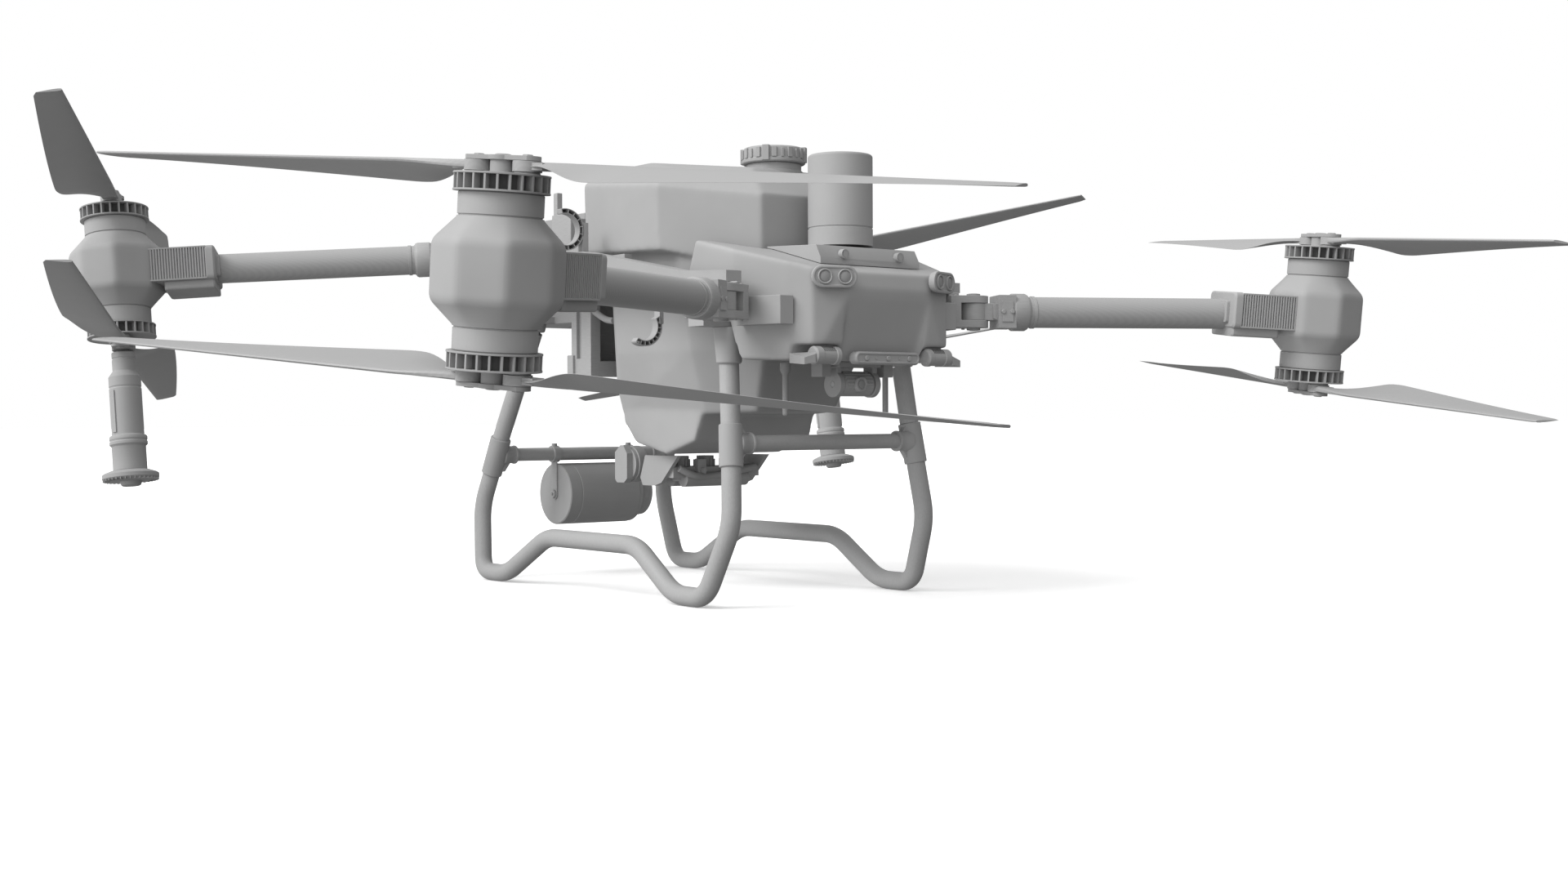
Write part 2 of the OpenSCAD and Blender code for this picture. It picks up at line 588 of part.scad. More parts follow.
// ---- arm roots ----------------------------------------------------------

// Corrugated cable sleeves between the nose and the front arms
module cable_boots() color(dark_c) for (s = [0, 1]) mirror([s, 0, 0]) {
    for (k = [0:5]) translate([-231.6 + 3.9 * k, -386 + 2 * k, 490]) rotate([0, 0, 27.8])
        rotate([0, 90, 0]) cylinder(r = k % 2 == 0 ? 17 : 14, h = 4.6);
    translate([0, 0, 462]) linear_extrude(46)
        polygon([[-214, -366], [-214, -392], [-192, -453], [-165, -453], [-170, -439], [-199.5, -364]]);
}
// An open ring of the given inner radius, between two angles
module clip_ring(r, wide, from, to) difference() {
    cylinder(r = r + 7, h = wide, center = true);
    cylinder(r = r, h = wide + 1, center = true);
    translate([0, 0, -wide]) linear_extrude(2 * wide)
        polygon(concat([[0, 0]], [for (k = [0:6]) let (a = to + (360 + from - to) * k / 6)
            2 * r * [cos(a), sin(a)]]));
}
// Ribbed hooks that a folded arm rests in
module arm_clips() color(dark_c) for (s = [0, 1]) mirror([s, 0, 0]) {
    translate([-284, 45, 646]) rotate([90, 0, 0]) clip_ring(29.5, 16, -104, 104);
    block([-250, 37, 608 + eps], [-238, 53, 660]);
    translate([-284, -202, 466]) rotate([90, 0, 0]) clip_ring(26, 16, -125, 30);
    block([-256, -210, 470], [-248, -194, 527.6]);
}
// Liquid hose from the tank's side to the rear frame
hose_route = rounded([[-142, 169.8, 512], [-144, 140, 500], [-150, 112, 493], [-152, 88, 491]], 8, 3);
module supply_hose() color(carbon_c) swept(hose_route, 6, 8);

// ---- assembly -----------------------------------------------------------

tank();
tank_cap();
center_frame();
rear_frame();
battery();
nose_fairing();
vision_modules();
nose_lamps();
radar_tray();
front_radar();
gimbal_yoke();
gimbal_camera();
antennas();
skids();
cross_tubes();
leg_joints();
rear_radar();
rear_radar_bracket();
rear_sensor();
pump_base();
for (c = ["fr", "fl", "rr", "rl"]) arm_hinge(c);  // arm_hinges
cable_boots();
arm_clips();
supply_hose();
for (c = ["rr", "rl"]) {
    lance(c);
    spray_disc(c);
}
for (c = ["fr", "fl", "rr", "rl"]) {
    arm(c);
    motor_pod(c);
    for (s = ["upper", "lower"]) {
        hub(c, s == "upper");
        for (n = ["a", "b"])
            blade(c, s == "upper", n == "b");
    }
}
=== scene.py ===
import json
import math

import bmesh
import bpy
from mathutils import Matrix, Vector


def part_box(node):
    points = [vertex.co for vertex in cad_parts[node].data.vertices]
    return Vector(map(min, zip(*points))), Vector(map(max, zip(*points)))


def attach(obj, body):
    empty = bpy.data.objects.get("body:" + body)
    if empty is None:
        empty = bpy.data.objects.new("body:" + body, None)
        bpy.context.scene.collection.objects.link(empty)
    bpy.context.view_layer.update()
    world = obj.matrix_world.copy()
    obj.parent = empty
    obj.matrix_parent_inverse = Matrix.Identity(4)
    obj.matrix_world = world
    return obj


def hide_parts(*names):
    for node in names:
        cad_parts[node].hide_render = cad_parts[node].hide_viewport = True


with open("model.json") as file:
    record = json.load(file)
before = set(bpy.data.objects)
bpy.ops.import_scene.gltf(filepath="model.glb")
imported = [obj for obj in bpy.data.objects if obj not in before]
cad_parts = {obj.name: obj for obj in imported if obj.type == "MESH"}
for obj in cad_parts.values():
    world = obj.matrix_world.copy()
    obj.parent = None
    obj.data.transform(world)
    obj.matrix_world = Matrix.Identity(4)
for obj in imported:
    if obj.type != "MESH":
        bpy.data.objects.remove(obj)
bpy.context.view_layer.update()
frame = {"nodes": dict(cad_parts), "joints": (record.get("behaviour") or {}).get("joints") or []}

# Looks of the agricultural spray drone. Shapes are drawn in millimetres and
# stored in metres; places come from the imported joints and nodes.
MM = 0.001
CORNERS = ("fr", "fl", "rr", "rl")
joints = {j["name"]: j for j in frame["joints"]}


# ---- places --------------------------------------------------------------


def joint_at(name):
    """A joint's point in millimetres."""
    return Vector(joints[name]["pos_m"]) / MM


def turn(axis, degrees):
    return Matrix.Rotation(math.radians(degrees), 4, axis)


def shift(*xyz):
    return Matrix.Translation(Vector(xyz))


def mirrored(axis):
    scale = Matrix.Identity(4)
    scale[axis][axis] = -1
    return scale


MIRROR_X = mirrored(0)
MIRROR_Z = mirrored(2)
SIDES = (Matrix.Identity(4), MIRROR_X)


def is_left(corner):
    return corner.endswith("l")


def is_front(corner):
    return corner.startswith("f")


def side(corner):
    """Geometry is drawn on the drone's right, at -X, and mirrored to its left."""
    return MIRROR_X if is_left(corner) else Matrix.Identity(4)


def right_point(corner, name):
    return side(corner) @ joint_at(name)


def motor_frame(corner):
    """Origin at the motor's middle, +Z along the rotor axis."""
    spin = f"rotor_{corner}_upper_spin"
    axis = Vector(joints[spin]["axis"])
    lean = math.degrees(math.atan(-axis.y / axis.z))
    return side(corner) @ Matrix.Translation(right_point(corner, spin)) @ turn("X", lean)


def rotor_frame(corner, level):
    """Origin at the motor's middle, +Z out through the rotor, +X along blade a."""
    outward = motor_frame(corner) @ (MIRROR_Z if level == "lower" else Matrix.Identity(4))
    pin = outward.inverted() @ joint_at(f"blade_{corner}_{level}_a_fold")
    return outward @ turn("Z", math.degrees(math.atan2(pin.y, pin.x)))


def arm_vector(corner):
    return right_point(corner, f"rotor_{corner}_upper_spin") - right_point(corner, f"arm_{corner}_fold")


def arm_azimuth(corner):
    v = arm_vector(corner)
    return math.degrees(math.atan2(v.y, v.x))


def arm_frame(corner):
    """Origin at the arm's fold pivot, +X out along its tube."""
    v = arm_vector(corner)
    drop = -math.degrees(math.asin(v.z / v.length))
    pivot = Matrix.Translation(right_point(corner, f"arm_{corner}_fold"))
    return side(corner) @ pivot @ turn("Z", arm_azimuth(corner)) @ turn("Y", drop)


# ---- solids --------------------------------------------------------------


def ring_points(r, z, n, start=0.0):
    step = 2 * math.pi / n
    return [(r * math.cos(start + step * k), r * math.sin(start + step * k), z) for k in range(n)]


def arc_corner(points, d, steps=5, closed=False):
    """A route or outline whose corners are rounded by curves starting d from each corner."""
    points = [Vector(p) for p in points]
    last = len(points) - 1
    made = [] if closed else [points[0]]
    for i in range(len(points)) if closed else range(1, last):
        b = points[i]
        before, after = points[i - 1] - b, points[(i + 1) % len(points)] - b
        reach = min(d, 0.48 * before.length, 0.48 * after.length)
        a = b + reach * before.normalized()
        c = b + reach * after.normalized()
        for k in range(steps + 1):
            s = k / steps
            made.append((1 - s) ** 2 * a + 2 * s * (1 - s) * b + s * s * c)
    if not closed:
        made.append(points[last])
    return made


class Solids:
    """Closed solids in millimetres, gathered in one mesh; paint is the material index."""

    def __init__(self, at=None):
        self.bm = bmesh.new()
        self.at = at or Matrix.Identity(4)
        self.paint = 0

    def face(self, verts):
        made = self.bm.faces.new(verts)
        made.material_index = self.paint

    def skin(self, rings, at=None):
        """A closed skin over rings of points; a ring of one point is a tip."""
        place = self.at @ at if at else self.at
        rows = [[self.bm.verts.new(place @ Vector(p)) for p in ring] for ring in rings]
        for low, high in zip(rows, rows[1:]):
            n = max(len(low), len(high))
            for k in range(n):
                m = (k + 1) % n
                if len(low) == 1:
                    self.face((low[0], high[m], high[k]))
                elif len(high) == 1:
                    self.face((low[k], low[m], high[0]))
                else:
                    self.face((low[k], low[m], high[m], high[k]))
        for row in (rows[0], rows[-1]):
            if len(row) > 1:
                self.face(row)
        return self

    def box(self, low, high, at=None):
        xs, ys = (low[0], high[0]), (low[1], high[1])
        outline = [(xs[0], ys[0]), (xs[1], ys[0]), (xs[1], ys[1]), (xs[0], ys[1])]
        return self.prism(outline, low[2], high[2], at)

    def prism(self, outline, low, high, at=None):
        return self.skin([[(p[0], p[1], z) for p in outline] for z in (low, high)], at)

    def lathe(self, profile, at=None, n=64):
        """Turns a profile of (radius, height) about Z; radius 0 closes it."""
        return self.skin([[(0, 0, z)] if r == 0 else ring_points(r, z, n) for r, z in profile], at)

    def pipe(self, r_out, r_in, low, high, at=None, n=48):
        """A ring with a bore, its edges left square."""
        place = self.at @ at if at else self.at
        corners = ((r_out, low), (r_out, high), (r_in, high), (r_in, low))
        rows = [[self.bm.verts.new(place @ Vector(p)) for p in ring_points(r, z, n)] for r, z in corners]
        for i in range(4):
            a, b = rows[i], rows[(i + 1) % 4]
            for k in range(n):
                m = (k + 1) % n
                self.face((a[k], a[m], b[m], b[k]))
        return self

    def arc(self, r_in, r_out, start, end, low, high, at=None, steps=40):
        """A curved bar between two radii, two angles and two heights."""
        rings = []
        for k in range(steps + 1):
            a = math.radians(start + (end - start) * k / steps)
            c, s = math.cos(a), math.sin(a)
            corners = ((r_in, low), (r_out, low), (r_out, high), (r_in, high))
            rings.append([(r * c, r * s, z) for r, z in corners])
        return self.skin(rings, at)

    def tube(self, route, r, at=None, n=28):
        """A tube along a route; r is one radius, or one for each point."""
        route = [Vector(p) for p in route]
        last = len(route) - 1
        radii = r if isinstance(r, list) else [r] * (last + 1)
        heading = [(route[min(i + 1, last)] - route[max(i - 1, 0)]).normalized() for i in range(last + 1)]
        u = heading[0].orthogonal().normalized()
        rings = []
        for point, t, radius in zip(route, heading, radii):
            u = (u - t * u.dot(t)).normalized()
            v = t.cross(u)
            rings.append([point + radius * (math.cos(a) * u + math.sin(a) * v)
                          for a in (2 * math.pi * k / n for k in range(n))])
        return self.skin(rings, at)

    def hull(self, points, at=None):
        """The convex solid round a list of points, its flat faces made whole."""
        work = bmesh.new()
        for p in points:
            work.verts.new(p)
        made = bmesh.ops.convex_hull(work, input=work.verts)
        loose = [g for g in made["geom_interior"] + made["geom_unused"] if isinstance(g, bmesh.types.BMVert)]
        bmesh.ops.delete(work, geom=list(set(loose)), context="VERTS")
        bmesh.ops.dissolve_limit(work, angle_limit=math.radians(1), verts=work.verts, edges=work.edges)
        place = self.at @ at if at else self.at
        copies = {v: self.bm.verts.new(place @ v.co) for v in work.verts}
        for f in work.faces:
            self.face([copies[v] for v in f.verts])
        work.free()
        return self

    def copy_of(self, node):
        """The CAD node's own solids, with split corners joined and flat faces made whole."""
        work = bmesh.new()
        work.from_mesh(frame["nodes"][node].data)
        bmesh.ops.remove_doubles(work, verts=work.verts, dist=2e-5)
        bmesh.ops.dissolve_limit(work, angle_limit=math.radians(0.6), verts=work.verts, edges=work.edges)
        copies = {v: self.bm.verts.new(v.co / MM) for v in work.verts}
        for f in work.faces:
            self.face([copies[v] for v in f.verts])
        work.free()
        return self

    def mesh(self, name):
        bmesh.ops.recalc_face_normals(self.bm, faces=self.bm.faces)
        self.bm.transform(Matrix.Scale(MM, 4))
        made = bpy.data.meshes.new(name)
        self.bm.to_mesh(made)
        self.bm.free()
        return made


def soften(mesh, degrees=38):
    """Smooth shading, with edges sharper than the angle kept crisp."""
    mesh.shade_smooth()
    mesh.set_sharp_from_angle(angle=math.radians(degrees))


def linked(name, mesh):
    obj = bpy.data.objects.new(name, mesh)
    bpy.context.scene.collection.objects.link(obj)
    return obj


def piece(name, solids, body, looks, replaces=(), bevel=1.2, segments=3):
    """Puts solids into the scene as one piece with rounded edges, riding on a body."""
    mesh = solids if isinstance(solids, bpy.types.Mesh) else solids.mesh(name)
    soften(mesh)
    obj = linked(name, mesh)
    for look in looks:
        mesh.materials.append(look)
    if bevel:
        edge = obj.modifiers.new("Rounded edges", "BEVEL")
        edge.width = bevel * MM
        edge.segments = segments
        edge.limit_method = "ANGLE"
        edge.angle_limit = math.radians(32)
        edge.use_clamp_overlap = True
        edge.harden_normals = True
    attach(obj, body)
    if replaces:
        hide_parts(*replaces)
    return obj


def moulded(name, base, cuts, voxel, passes):
    """One moulded mesh: solids joined and cut, then evened out so that every edge is soft."""
    block = linked(name + "_work", base.mesh(name))
    tools = []
    for kind, solids in cuts:
        tool = linked(name + "_tool", solids.mesh(name + "_tool"))
        cut = block.modifiers.new(kind, "BOOLEAN")
        cut.operation = kind
        cut.object = tool
        cut.solver = "EXACT"
        cut.use_self = True
        tools.append(tool)
    grid = block.modifiers.new("Even mesh", "REMESH")
    grid.mode = "VOXEL"
    grid.voxel_size = voxel * MM
    relax = block.modifiers.new("Soft edges", "SMOOTH")
    relax.factor = 0.5
    relax.iterations = passes
    bpy.context.view_layer.update()
    shaped = block.evaluated_get(bpy.context.evaluated_depsgraph_get())
    mesh = bpy.data.meshes.new_from_object(shaped)
    for work in [block] + tools:
        bpy.data.objects.remove(work)
    mesh.materials.clear()
    mesh.name = name
    return mesh


# ---- materials -----------------------------------------------------------


def node_tree(name):
    material = bpy.data.materials.new(name)
    material.use_nodes = True
    tree = material.node_tree
    return material, tree, tree.nodes["Principled BSDF"]


def wire(tree, source, target):
    tree.links.new(source, target)


def noise(tree, scale, detail=4.0, stretch=None):
    """Noise in the object's own coordinates, in metres."""
    place = tree.nodes.new("ShaderNodeTexCoord")
    texture = tree.nodes.new("ShaderNodeTexNoise")
    texture.inputs["Scale"].default_value = scale
    texture.inputs["Detail"].default_value = detail
    if stretch:
        mapping = tree.nodes.new("ShaderNodeMapping")
        mapping.inputs["Scale"].default_value = stretch
        wire(tree, place.outputs["Object"], mapping.inputs["Vector"])
        wire(tree, mapping.outputs["Vector"], texture.inputs["Vector"])
    else:
        wire(tree, place.outputs["Object"], texture.inputs["Vector"])
    return texture.outputs["Fac"]


def ramp(tree, value, stops):
    made = tree.nodes.new("ShaderNodeValToRGB")
    wire(tree, value, made.inputs["Fac"])
    for (place, colour), element in zip(stops, made.color_ramp.elements):
        element.position = place
        element.color = (*colour, 1)
    return made.outputs["Color"]


def spread(tree, value, low, high):
    made = tree.nodes.new("ShaderNodeMapRange")
    made.inputs["To Min"].default_value = low
    made.inputs["To Max"].default_value = high
    wire(tree, value, made.inputs["Value"])
    return made.outputs["Result"]


def vary_roughness(tree, shader, scale, low, high):
    wire(tree, spread(tree, noise(tree, scale), low, high), shader.inputs["Roughness"])


def bump(tree, shader, height, distance, strength, before=None):
    made = tree.nodes.new("ShaderNodeBump")
    made.inputs["Distance"].default_value = distance
    made.inputs["Strength"].default_value = strength
    wire(tree, height, made.inputs["Height"])
    if before:
        wire(tree, before, made.inputs["Normal"])
    wire(tree, made.outputs["Normal"], shader.inputs["Normal"])
    return made.outputs["Normal"]


def grey(value, warm=0.0):
    return (value * (1 + warm), value, value * (1 - warm))


def edge_wear(tree, colour, lighter):
    """Lets edges that stick out lighten a little, where hands and dust rub them."""
    shape = tree.nodes.new("ShaderNodeNewGeometry")
    rubbed = ramp(tree, shape.outputs["Pointiness"], [(0.53, (0, 0, 0)), (0.60, (1, 1, 1))])
    mix = tree.nodes.new("ShaderNodeMix")
    mix.data_type = "RGBA"
    mix.inputs["B"].default_value = (*lighter, 1)
    patchy = tree.nodes.new("ShaderNodeMath")
    patchy.operation = "MULTIPLY"
    wire(tree, rubbed, patchy.inputs[0])
    wire(tree, spread(tree, noise(tree, 60.0), 0.0, 0.5), patchy.inputs[1])
    wire(tree, patchy.outputs["Value"], mix.inputs["Factor"])
    wire(tree, colour, mix.inputs["A"])
    return mix.outputs["Result"]


def moulded_plastic(name, tone, roughness, grain=900.0, depth=0.00012):
    """Matt moulded plastic: fine grain, faint cloudiness and rubbed edges."""
    material, tree, shader = node_tree(name)
    cloud = ramp(tree, noise(tree, 7.0), [(0.3, grey(tone * 0.95)), (0.7, grey(tone * 1.04))])
    wire(tree, edge_wear(tree, cloud, grey(tone * 1.22)), shader.inputs["Base Color"])
    vary_roughness(tree, shader, 25.0, roughness - 0.05, roughness + 0.07)
    bump(tree, shader, noise(tree, grain, 2.0), depth, 0.35)
    shader.inputs["Specular IOR Level"].default_value = 0.32
    return material


def painted_metal(name, tone, roughness, stretch=(1, 1, 14)):
    """Powder-coated or brushed metal: drawn grain along the part and rubbed edges."""
    material, tree, shader = node_tree(name)
    drawn = noise(tree, 60.0, 3.0, stretch)
    tint = ramp(tree, drawn, [(0.35, grey(tone * 0.95)), (0.65, grey(tone * 1.04))])
    wire(tree, edge_wear(tree, tint, grey(tone * 1.3)), shader.inputs["Base Color"])
    vary_roughness(tree, shader, 40.0, roughness - 0.06, roughness + 0.06)
    bump(tree, shader, noise(tree, 700.0, 2.0), 0.00008, 0.3)
    shader.inputs["Specular IOR Level"].default_value = 0.4
    return material


def woven_carbon(name, tone, roughness):
    """Carbon tube or blade under matt lacquer: a fine twill that shows only in close view."""
    material, tree, shader = node_tree(name)
    place = tree.nodes.new("ShaderNodeTexCoord")
    weave = tree.nodes.new("ShaderNodeTexWave")
    weave.wave_type = "BANDS"
    weave.bands_direction = "DIAGONAL"
    weave.inputs["Scale"].default_value = 90.0
    weave.inputs["Distortion"].default_value = 0.6
    wire(tree, place.outputs["Object"], weave.inputs["Vector"])
    cloth = ramp(tree, weave.outputs["Fac"], [(0.2, grey(tone * 0.97)), (0.8, grey(tone * 1.03))])
    wire(tree, edge_wear(tree, cloth, grey(tone * 1.2)), shader.inputs["Base Color"])
    vary_roughness(tree, shader, 30.0, roughness - 0.05, roughness + 0.05)
    first = bump(tree, shader, weave.outputs["Fac"], 0.00003, 0.3)
    bump(tree, shader, noise(tree, 800.0, 2.0), 0.00006, 0.3, first)
    return material


TONE = 0.36
shell = moulded_plastic("Shell plastic", TONE, 0.62)
tank_plastic = moulded_plastic("Tank plastic", TONE, 0.55, 500.0, 0.00016)
dark = moulded_plastic("Trim plastic", TONE * 0.94, 0.6, 1200.0)
# Near-black plastic laid into vents, slots and bores: painted shade where light doesn't reach, not a colour
# of the part.
painted_recess_shade = moulded_plastic("Painted recess shade", TONE * 0.28, 0.8)
metal = painted_metal("Coated metal", TONE * 0.98, 0.5)
tube_metal = painted_metal("Coated tube", TONE * 0.98, 0.52, (14, 14, 2))
carbon = woven_carbon("Carbon", TONE * 0.97, 0.52)
rubber = moulded_plastic("Rubber", TONE * 0.85, 0.78, 1500.0)
glass = moulded_plastic("Lens", TONE * 0.8, 0.2, 200.0, 0.00001)


# ---- rotors --------------------------------------------------------------

RING_LOW, RING_HIGH, RING_R = 99.3, 123.0, 61.0
ROOT_LOW, ROOT_H, ROOT_R = 126.0, 13.4, 18.6
PLATE_LOW, PLATE_H = 139.8, 6.0
PIN_OUT, PIN_R = 37.0, 4.0
BLADE_START, BLADE_END = 46.0, 685.8
LEAD = 15.0


def clamp_outline():
    """Three lobes joined by a bar, seen along the rotor axis."""
    outline = []
    for centre, radius, start, end in ((PIN_OUT, 17, -60, 60), (0, 19, 50, 130),
                                       (-PIN_OUT, 17, 120, 240), (0, 19, 230, 310)):
        for k in range(13):
            a = math.radians(start + (end - start) * k / 12)
            outline.append((centre + radius * math.cos(a), radius * math.sin(a)))
    return outline


def hub(corner, level):
    s = Solids(rotor_frame(corner, level))
    for low in (RING_LOW, RING_HIGH - 2.6):
        s.lathe([(0, low), (RING_R, low), (RING_R, low + 2.6), (0, low + 2.6)], n=96)
    for k in range(24):
        s.box((47.5, -1.5, RING_LOW + 2), (RING_R - 0.6, 1.5, RING_HIGH - 2), turn("Z", 15 * k))
    # Dark drum inside the vented ring: painted shade seen between the fins.
    s.paint = 1
    s.lathe([(0, RING_LOW + 1), (48, RING_LOW + 1), (48, RING_HIGH - 1), (0, RING_HIGH - 1)])
    s.paint = 0
    s.lathe([(0, RING_HIGH - 1), (17, RING_HIGH - 1), (16, 127), (16, PLATE_LOW + 1), (0, PLATE_LOW + 1)])
    for x in (-PIN_OUT, PIN_OUT):
        s.lathe([(0, RING_HIGH - 1), (17, RING_HIGH - 1), (16.4, ROOT_LOW - 0.3), (0, ROOT_LOW - 0.3)],
                shift(x, 0, 0), 40)
        s.lathe([(0, ROOT_LOW - 1), (PIN_R, ROOT_LOW - 1), (PIN_R, PLATE_LOW + 1), (0, PLATE_LOW + 1)],
                shift(x, 0, 0), 32)
        top = PLATE_LOW + PLATE_H
        nut = [(0, top - 1), (7.5, top - 1), (7.5, top + 1.2), (6.2, top + 2), (0, top + 2)]
        s.lathe(nut, shift(x, 0, 0), 6)
    s.prism(clamp_outline(), PLATE_LOW, PLATE_LOW + PLATE_H)
    top = PLATE_LOW + PLATE_H
    s.lathe([(0, top - 1), (11, top - 1), (11, top + 1), (8, top + 2), (0, top + 2)], n=40)
    piece(f"hub_{corner}_{level}_bell", s, f"rotor_{corner}_{level}", [dark, painted_recess_shade],
          [f"hub_{corner}_{level}"], 0.6)


def smooth_step(t):
    t = max(0.0, min(1.0, t))
    return t * t * (3 - 2 * t)


def foil(n=11):
    """Points round a blade section as (share of chord, share of thickness), nose first."""
    share = [0.5 - 0.5 * math.cos(math.pi * k / n) for k in range(n + 1)]
    full = [2.07 * x ** 0.3 * (1 - x) ** 1.1 for x in share]
    top = [(x, 0.55 * f + 0.03) for x, f in zip(share, full)]
    bottom = [(x, -0.37 * f - 0.03) for x, f in zip(share, full)]
    return top + bottom[::-1]


def blade(corner, level, letter):
    s = Solids(rotor_frame(corner, level) @ turn("Z", 180 if letter == "b" else 0))
    middle = ROOT_LOW + ROOT_H / 2
    section = foil()
    count = 56
    rings = []
    for k in range(count + 1):
        share = k / count
        r = BLADE_START + (BLADE_END - BLADE_START) * (share * share * 0.35 + share * 0.65)
        t = (r - 50) / (BLADE_END - 50)
        if t < 0.22:
            chord = 26 + 66 * math.sin(math.pi / 2 * max(t, 0) / 0.22)
        else:
            chord = 92 - 50 * ((t - 0.22) / 0.78) ** 1.15
        tip = max(0.0, (r - (BLADE_END - 14)) / 14)
        chord *= 1 - 0.1 * tip ** 3
        pitch = math.radians(16 * smooth_step(t / 0.18) - 11 * max(0, t - 0.12) / 0.88)
        thick = (11 - 4 * smooth_step(t / 0.2) - 5.5 * max(0, t - 0.2) / 0.8) * (1 - 0.5 * tip ** 2)
        deeper = 3.2 * max(0.0, t)
        ring = []
        for across, up in section:
            x = LEAD - across * chord
            z = up * (thick + deeper) - 0.6 * deeper
            ring.append((r, x * math.cos(pitch) - z * math.sin(pitch),
                         middle + x * math.sin(pitch) + z * math.cos(pitch)))
        rings.append(ring)
    s.skin(rings)
    top = ROOT_LOW + ROOT_H
    s.pipe(ROOT_R, PIN_R + 0.05, ROOT_LOW, top, shift(PIN_OUT, 0, 0))
    neck = [(PIN_OUT + 6, -11), (BLADE_START + 22, -13), (BLADE_START + 22, 13), (PIN_OUT + 6, 11)]
    s.prism(neck, middle - 4.6, middle + 4.6)
    piece(f"blade_{corner}_{level}_{letter}_skin", s, f"blade_{corner}_{level}_{letter}", [carbon],
          [f"blade_{corner}_{level}_{letter}"], 0.5, 2)


# ---- motors and arms -----------------------------------------------------

POD_R, POD_HALF, POD_CONE, BAND_R, BAND_END = 86.0, 37.0, 67.0, 54.0, 99.0
ESC_NEAR, ESC_FAR, ESC_HALF_W, ESC_HALF_H = 56.0, 180.0, 55.0, 31.0
ESC_FINS = 21
SHAFT_R, SHAFT_END, LANCE_TOP = 8.0, 143.0, -149.5


def octagon(angle, sharpness=46):
    """Distance from the middle to a rounded octagon with flat sides of unit distance."""
    total = 0.0
    for k in range(8):
        total += max(0.0, math.cos(angle - k * math.pi / 4)) ** sharpness
    return total ** (-1 / sharpness)


def pod_ring(z, radius, squareness, n=96):
    """A ring between round, at 0, and octagonal, at 1."""
    flat = radius * math.cos(math.pi / 8)
    ring = []
    for k in range(n):
        a = 2 * math.pi * k / n
        r = (1 - squareness) * radius + squareness * flat * octagon(a)
        ring.append((r * math.cos(a), r * math.sin(a), z))
    return ring


def pod_half():
    """Rings from the middle of the pod up to its band, as (height, radius, squareness)."""
    corner = [(0, POD_R, 1), (POD_HALF, POD_R, 1), (POD_CONE, BAND_R + 1, 0.0)]
    route = arc_corner([(z, r, q) for z, r, q in corner], 9, 5)
    groove = BAND_R - 1.6
    neck = [(POD_CONE + 1.4, BAND_R + 0.6, 0), (POD_CONE + 2.2, groove, 0), (POD_CONE + 3.4, groove, 0),
            (POD_CONE + 4.0, BAND_R, 0), (BAND_END - 1.5, BAND_R, 0), (BAND_END, BAND_R - 1.4, 0)]
    return [tuple(p) for p in route] + neck


def pod(corner):
    place = motor_frame(corner)
    s = Solids(place)
    half = pod_half()
    rings = [pod_ring(-z, r, q) for z, r, q in reversed(half)] + [pod_ring(z, r, q) for z, r, q in half[1:]]
    s.skin(rings)
    for flip in (Matrix.Identity(4), MIRROR_Z):
        end = -LANCE_TOP if flip == MIRROR_Z and not is_front(corner) else SHAFT_END
        s.lathe([(0, BAND_END - 1), (SHAFT_R, BAND_END - 1), (SHAFT_R, end), (0, end)], flip, 40)
    piece(f"motor_pod_{corner}_shell", s, f"arm_{corner}", [shell], [f"motor_pod_{corner}"], 0)
    speed_controller(corner, place @ turn("Z", arm_azimuth(corner) + 180))


def speed_controller(corner, place):
    """The finned block between the motor and the arm, its end cap and the cover below."""
    s = Solids(place)
    near, far = ESC_NEAR + 4, ESC_FAR - 17
    deep_w = ESC_HALF_W - 3.2
    s.box((near, -deep_w, -ESC_HALF_H + 1), (far + 4, deep_w, ESC_HALF_H - 1))
    pitch = (far - near) / ESC_FINS
    for k in range(ESC_FINS):
        x = near + pitch * (k + 0.5)
        for w in (-1, 1):
            y = sorted((w * (deep_w - 3), w * ESC_HALF_W))
            s.box((x - 0.3 * pitch, y[0], -ESC_HALF_H + 2.5), (x + 0.3 * pitch, y[1], ESC_HALF_H - 2.5))
        s.box((x - 0.3 * pitch, -deep_w + 8, ESC_HALF_H - 3), (x + 0.3 * pitch, deep_w - 8, ESC_HALF_H))
    for z in (-ESC_HALF_H, ESC_HALF_H - 3):
        for w in (-1, 1):
            y = sorted((w * (ESC_HALF_W - 8), w * ESC_HALF_W))
            s.box((near, y[0], z), (far + 2, y[1], z + 3))
    piece(f"controller_{corner}_fins", s, f"arm_{corner}", [shell], (), 0.7, 2)
    cap = Solids(place)
    rounded = arc_corner([(-56, -32, 0), (56, -32, 0), (56, 32, 0), (-56, 32, 0)], 9, 5, True)
    cap.skin([[(x, inset * p.x, inset * p.y) for p in rounded]
              for x, inset in ((far, 0.97), (far + 1.5, 1), (ESC_FAR - 3, 1), (ESC_FAR, 0.93))])
    cap.skin([[(x, p.x * 0.62, p.y * 0.62 - 3) for p in rounded] for x in (ESC_FAR - 2, ESC_FAR + 6)])
    under = arc_corner([(-46, -14, 0), (46, -14, 0), (46, 6, 0), (-46, 6, 0)], 6, 4, True)
    cap.skin([[(x, inset * p.x, inset * p.y - ESC_HALF_H - 2) for p in under]
              for x, inset in ((ESC_NEAR + 31, 0.94), (ESC_NEAR + 35, 1),
                               (ESC_FAR - 6, 1), (ESC_FAR - 3, 0.94))])
    piece(f"controller_{corner}_cap", cap, f"arm_{corner}", [shell], (), 1.0, 3)


KNUCKLE_R, KNUCKLE_H = 24.0, 30.0


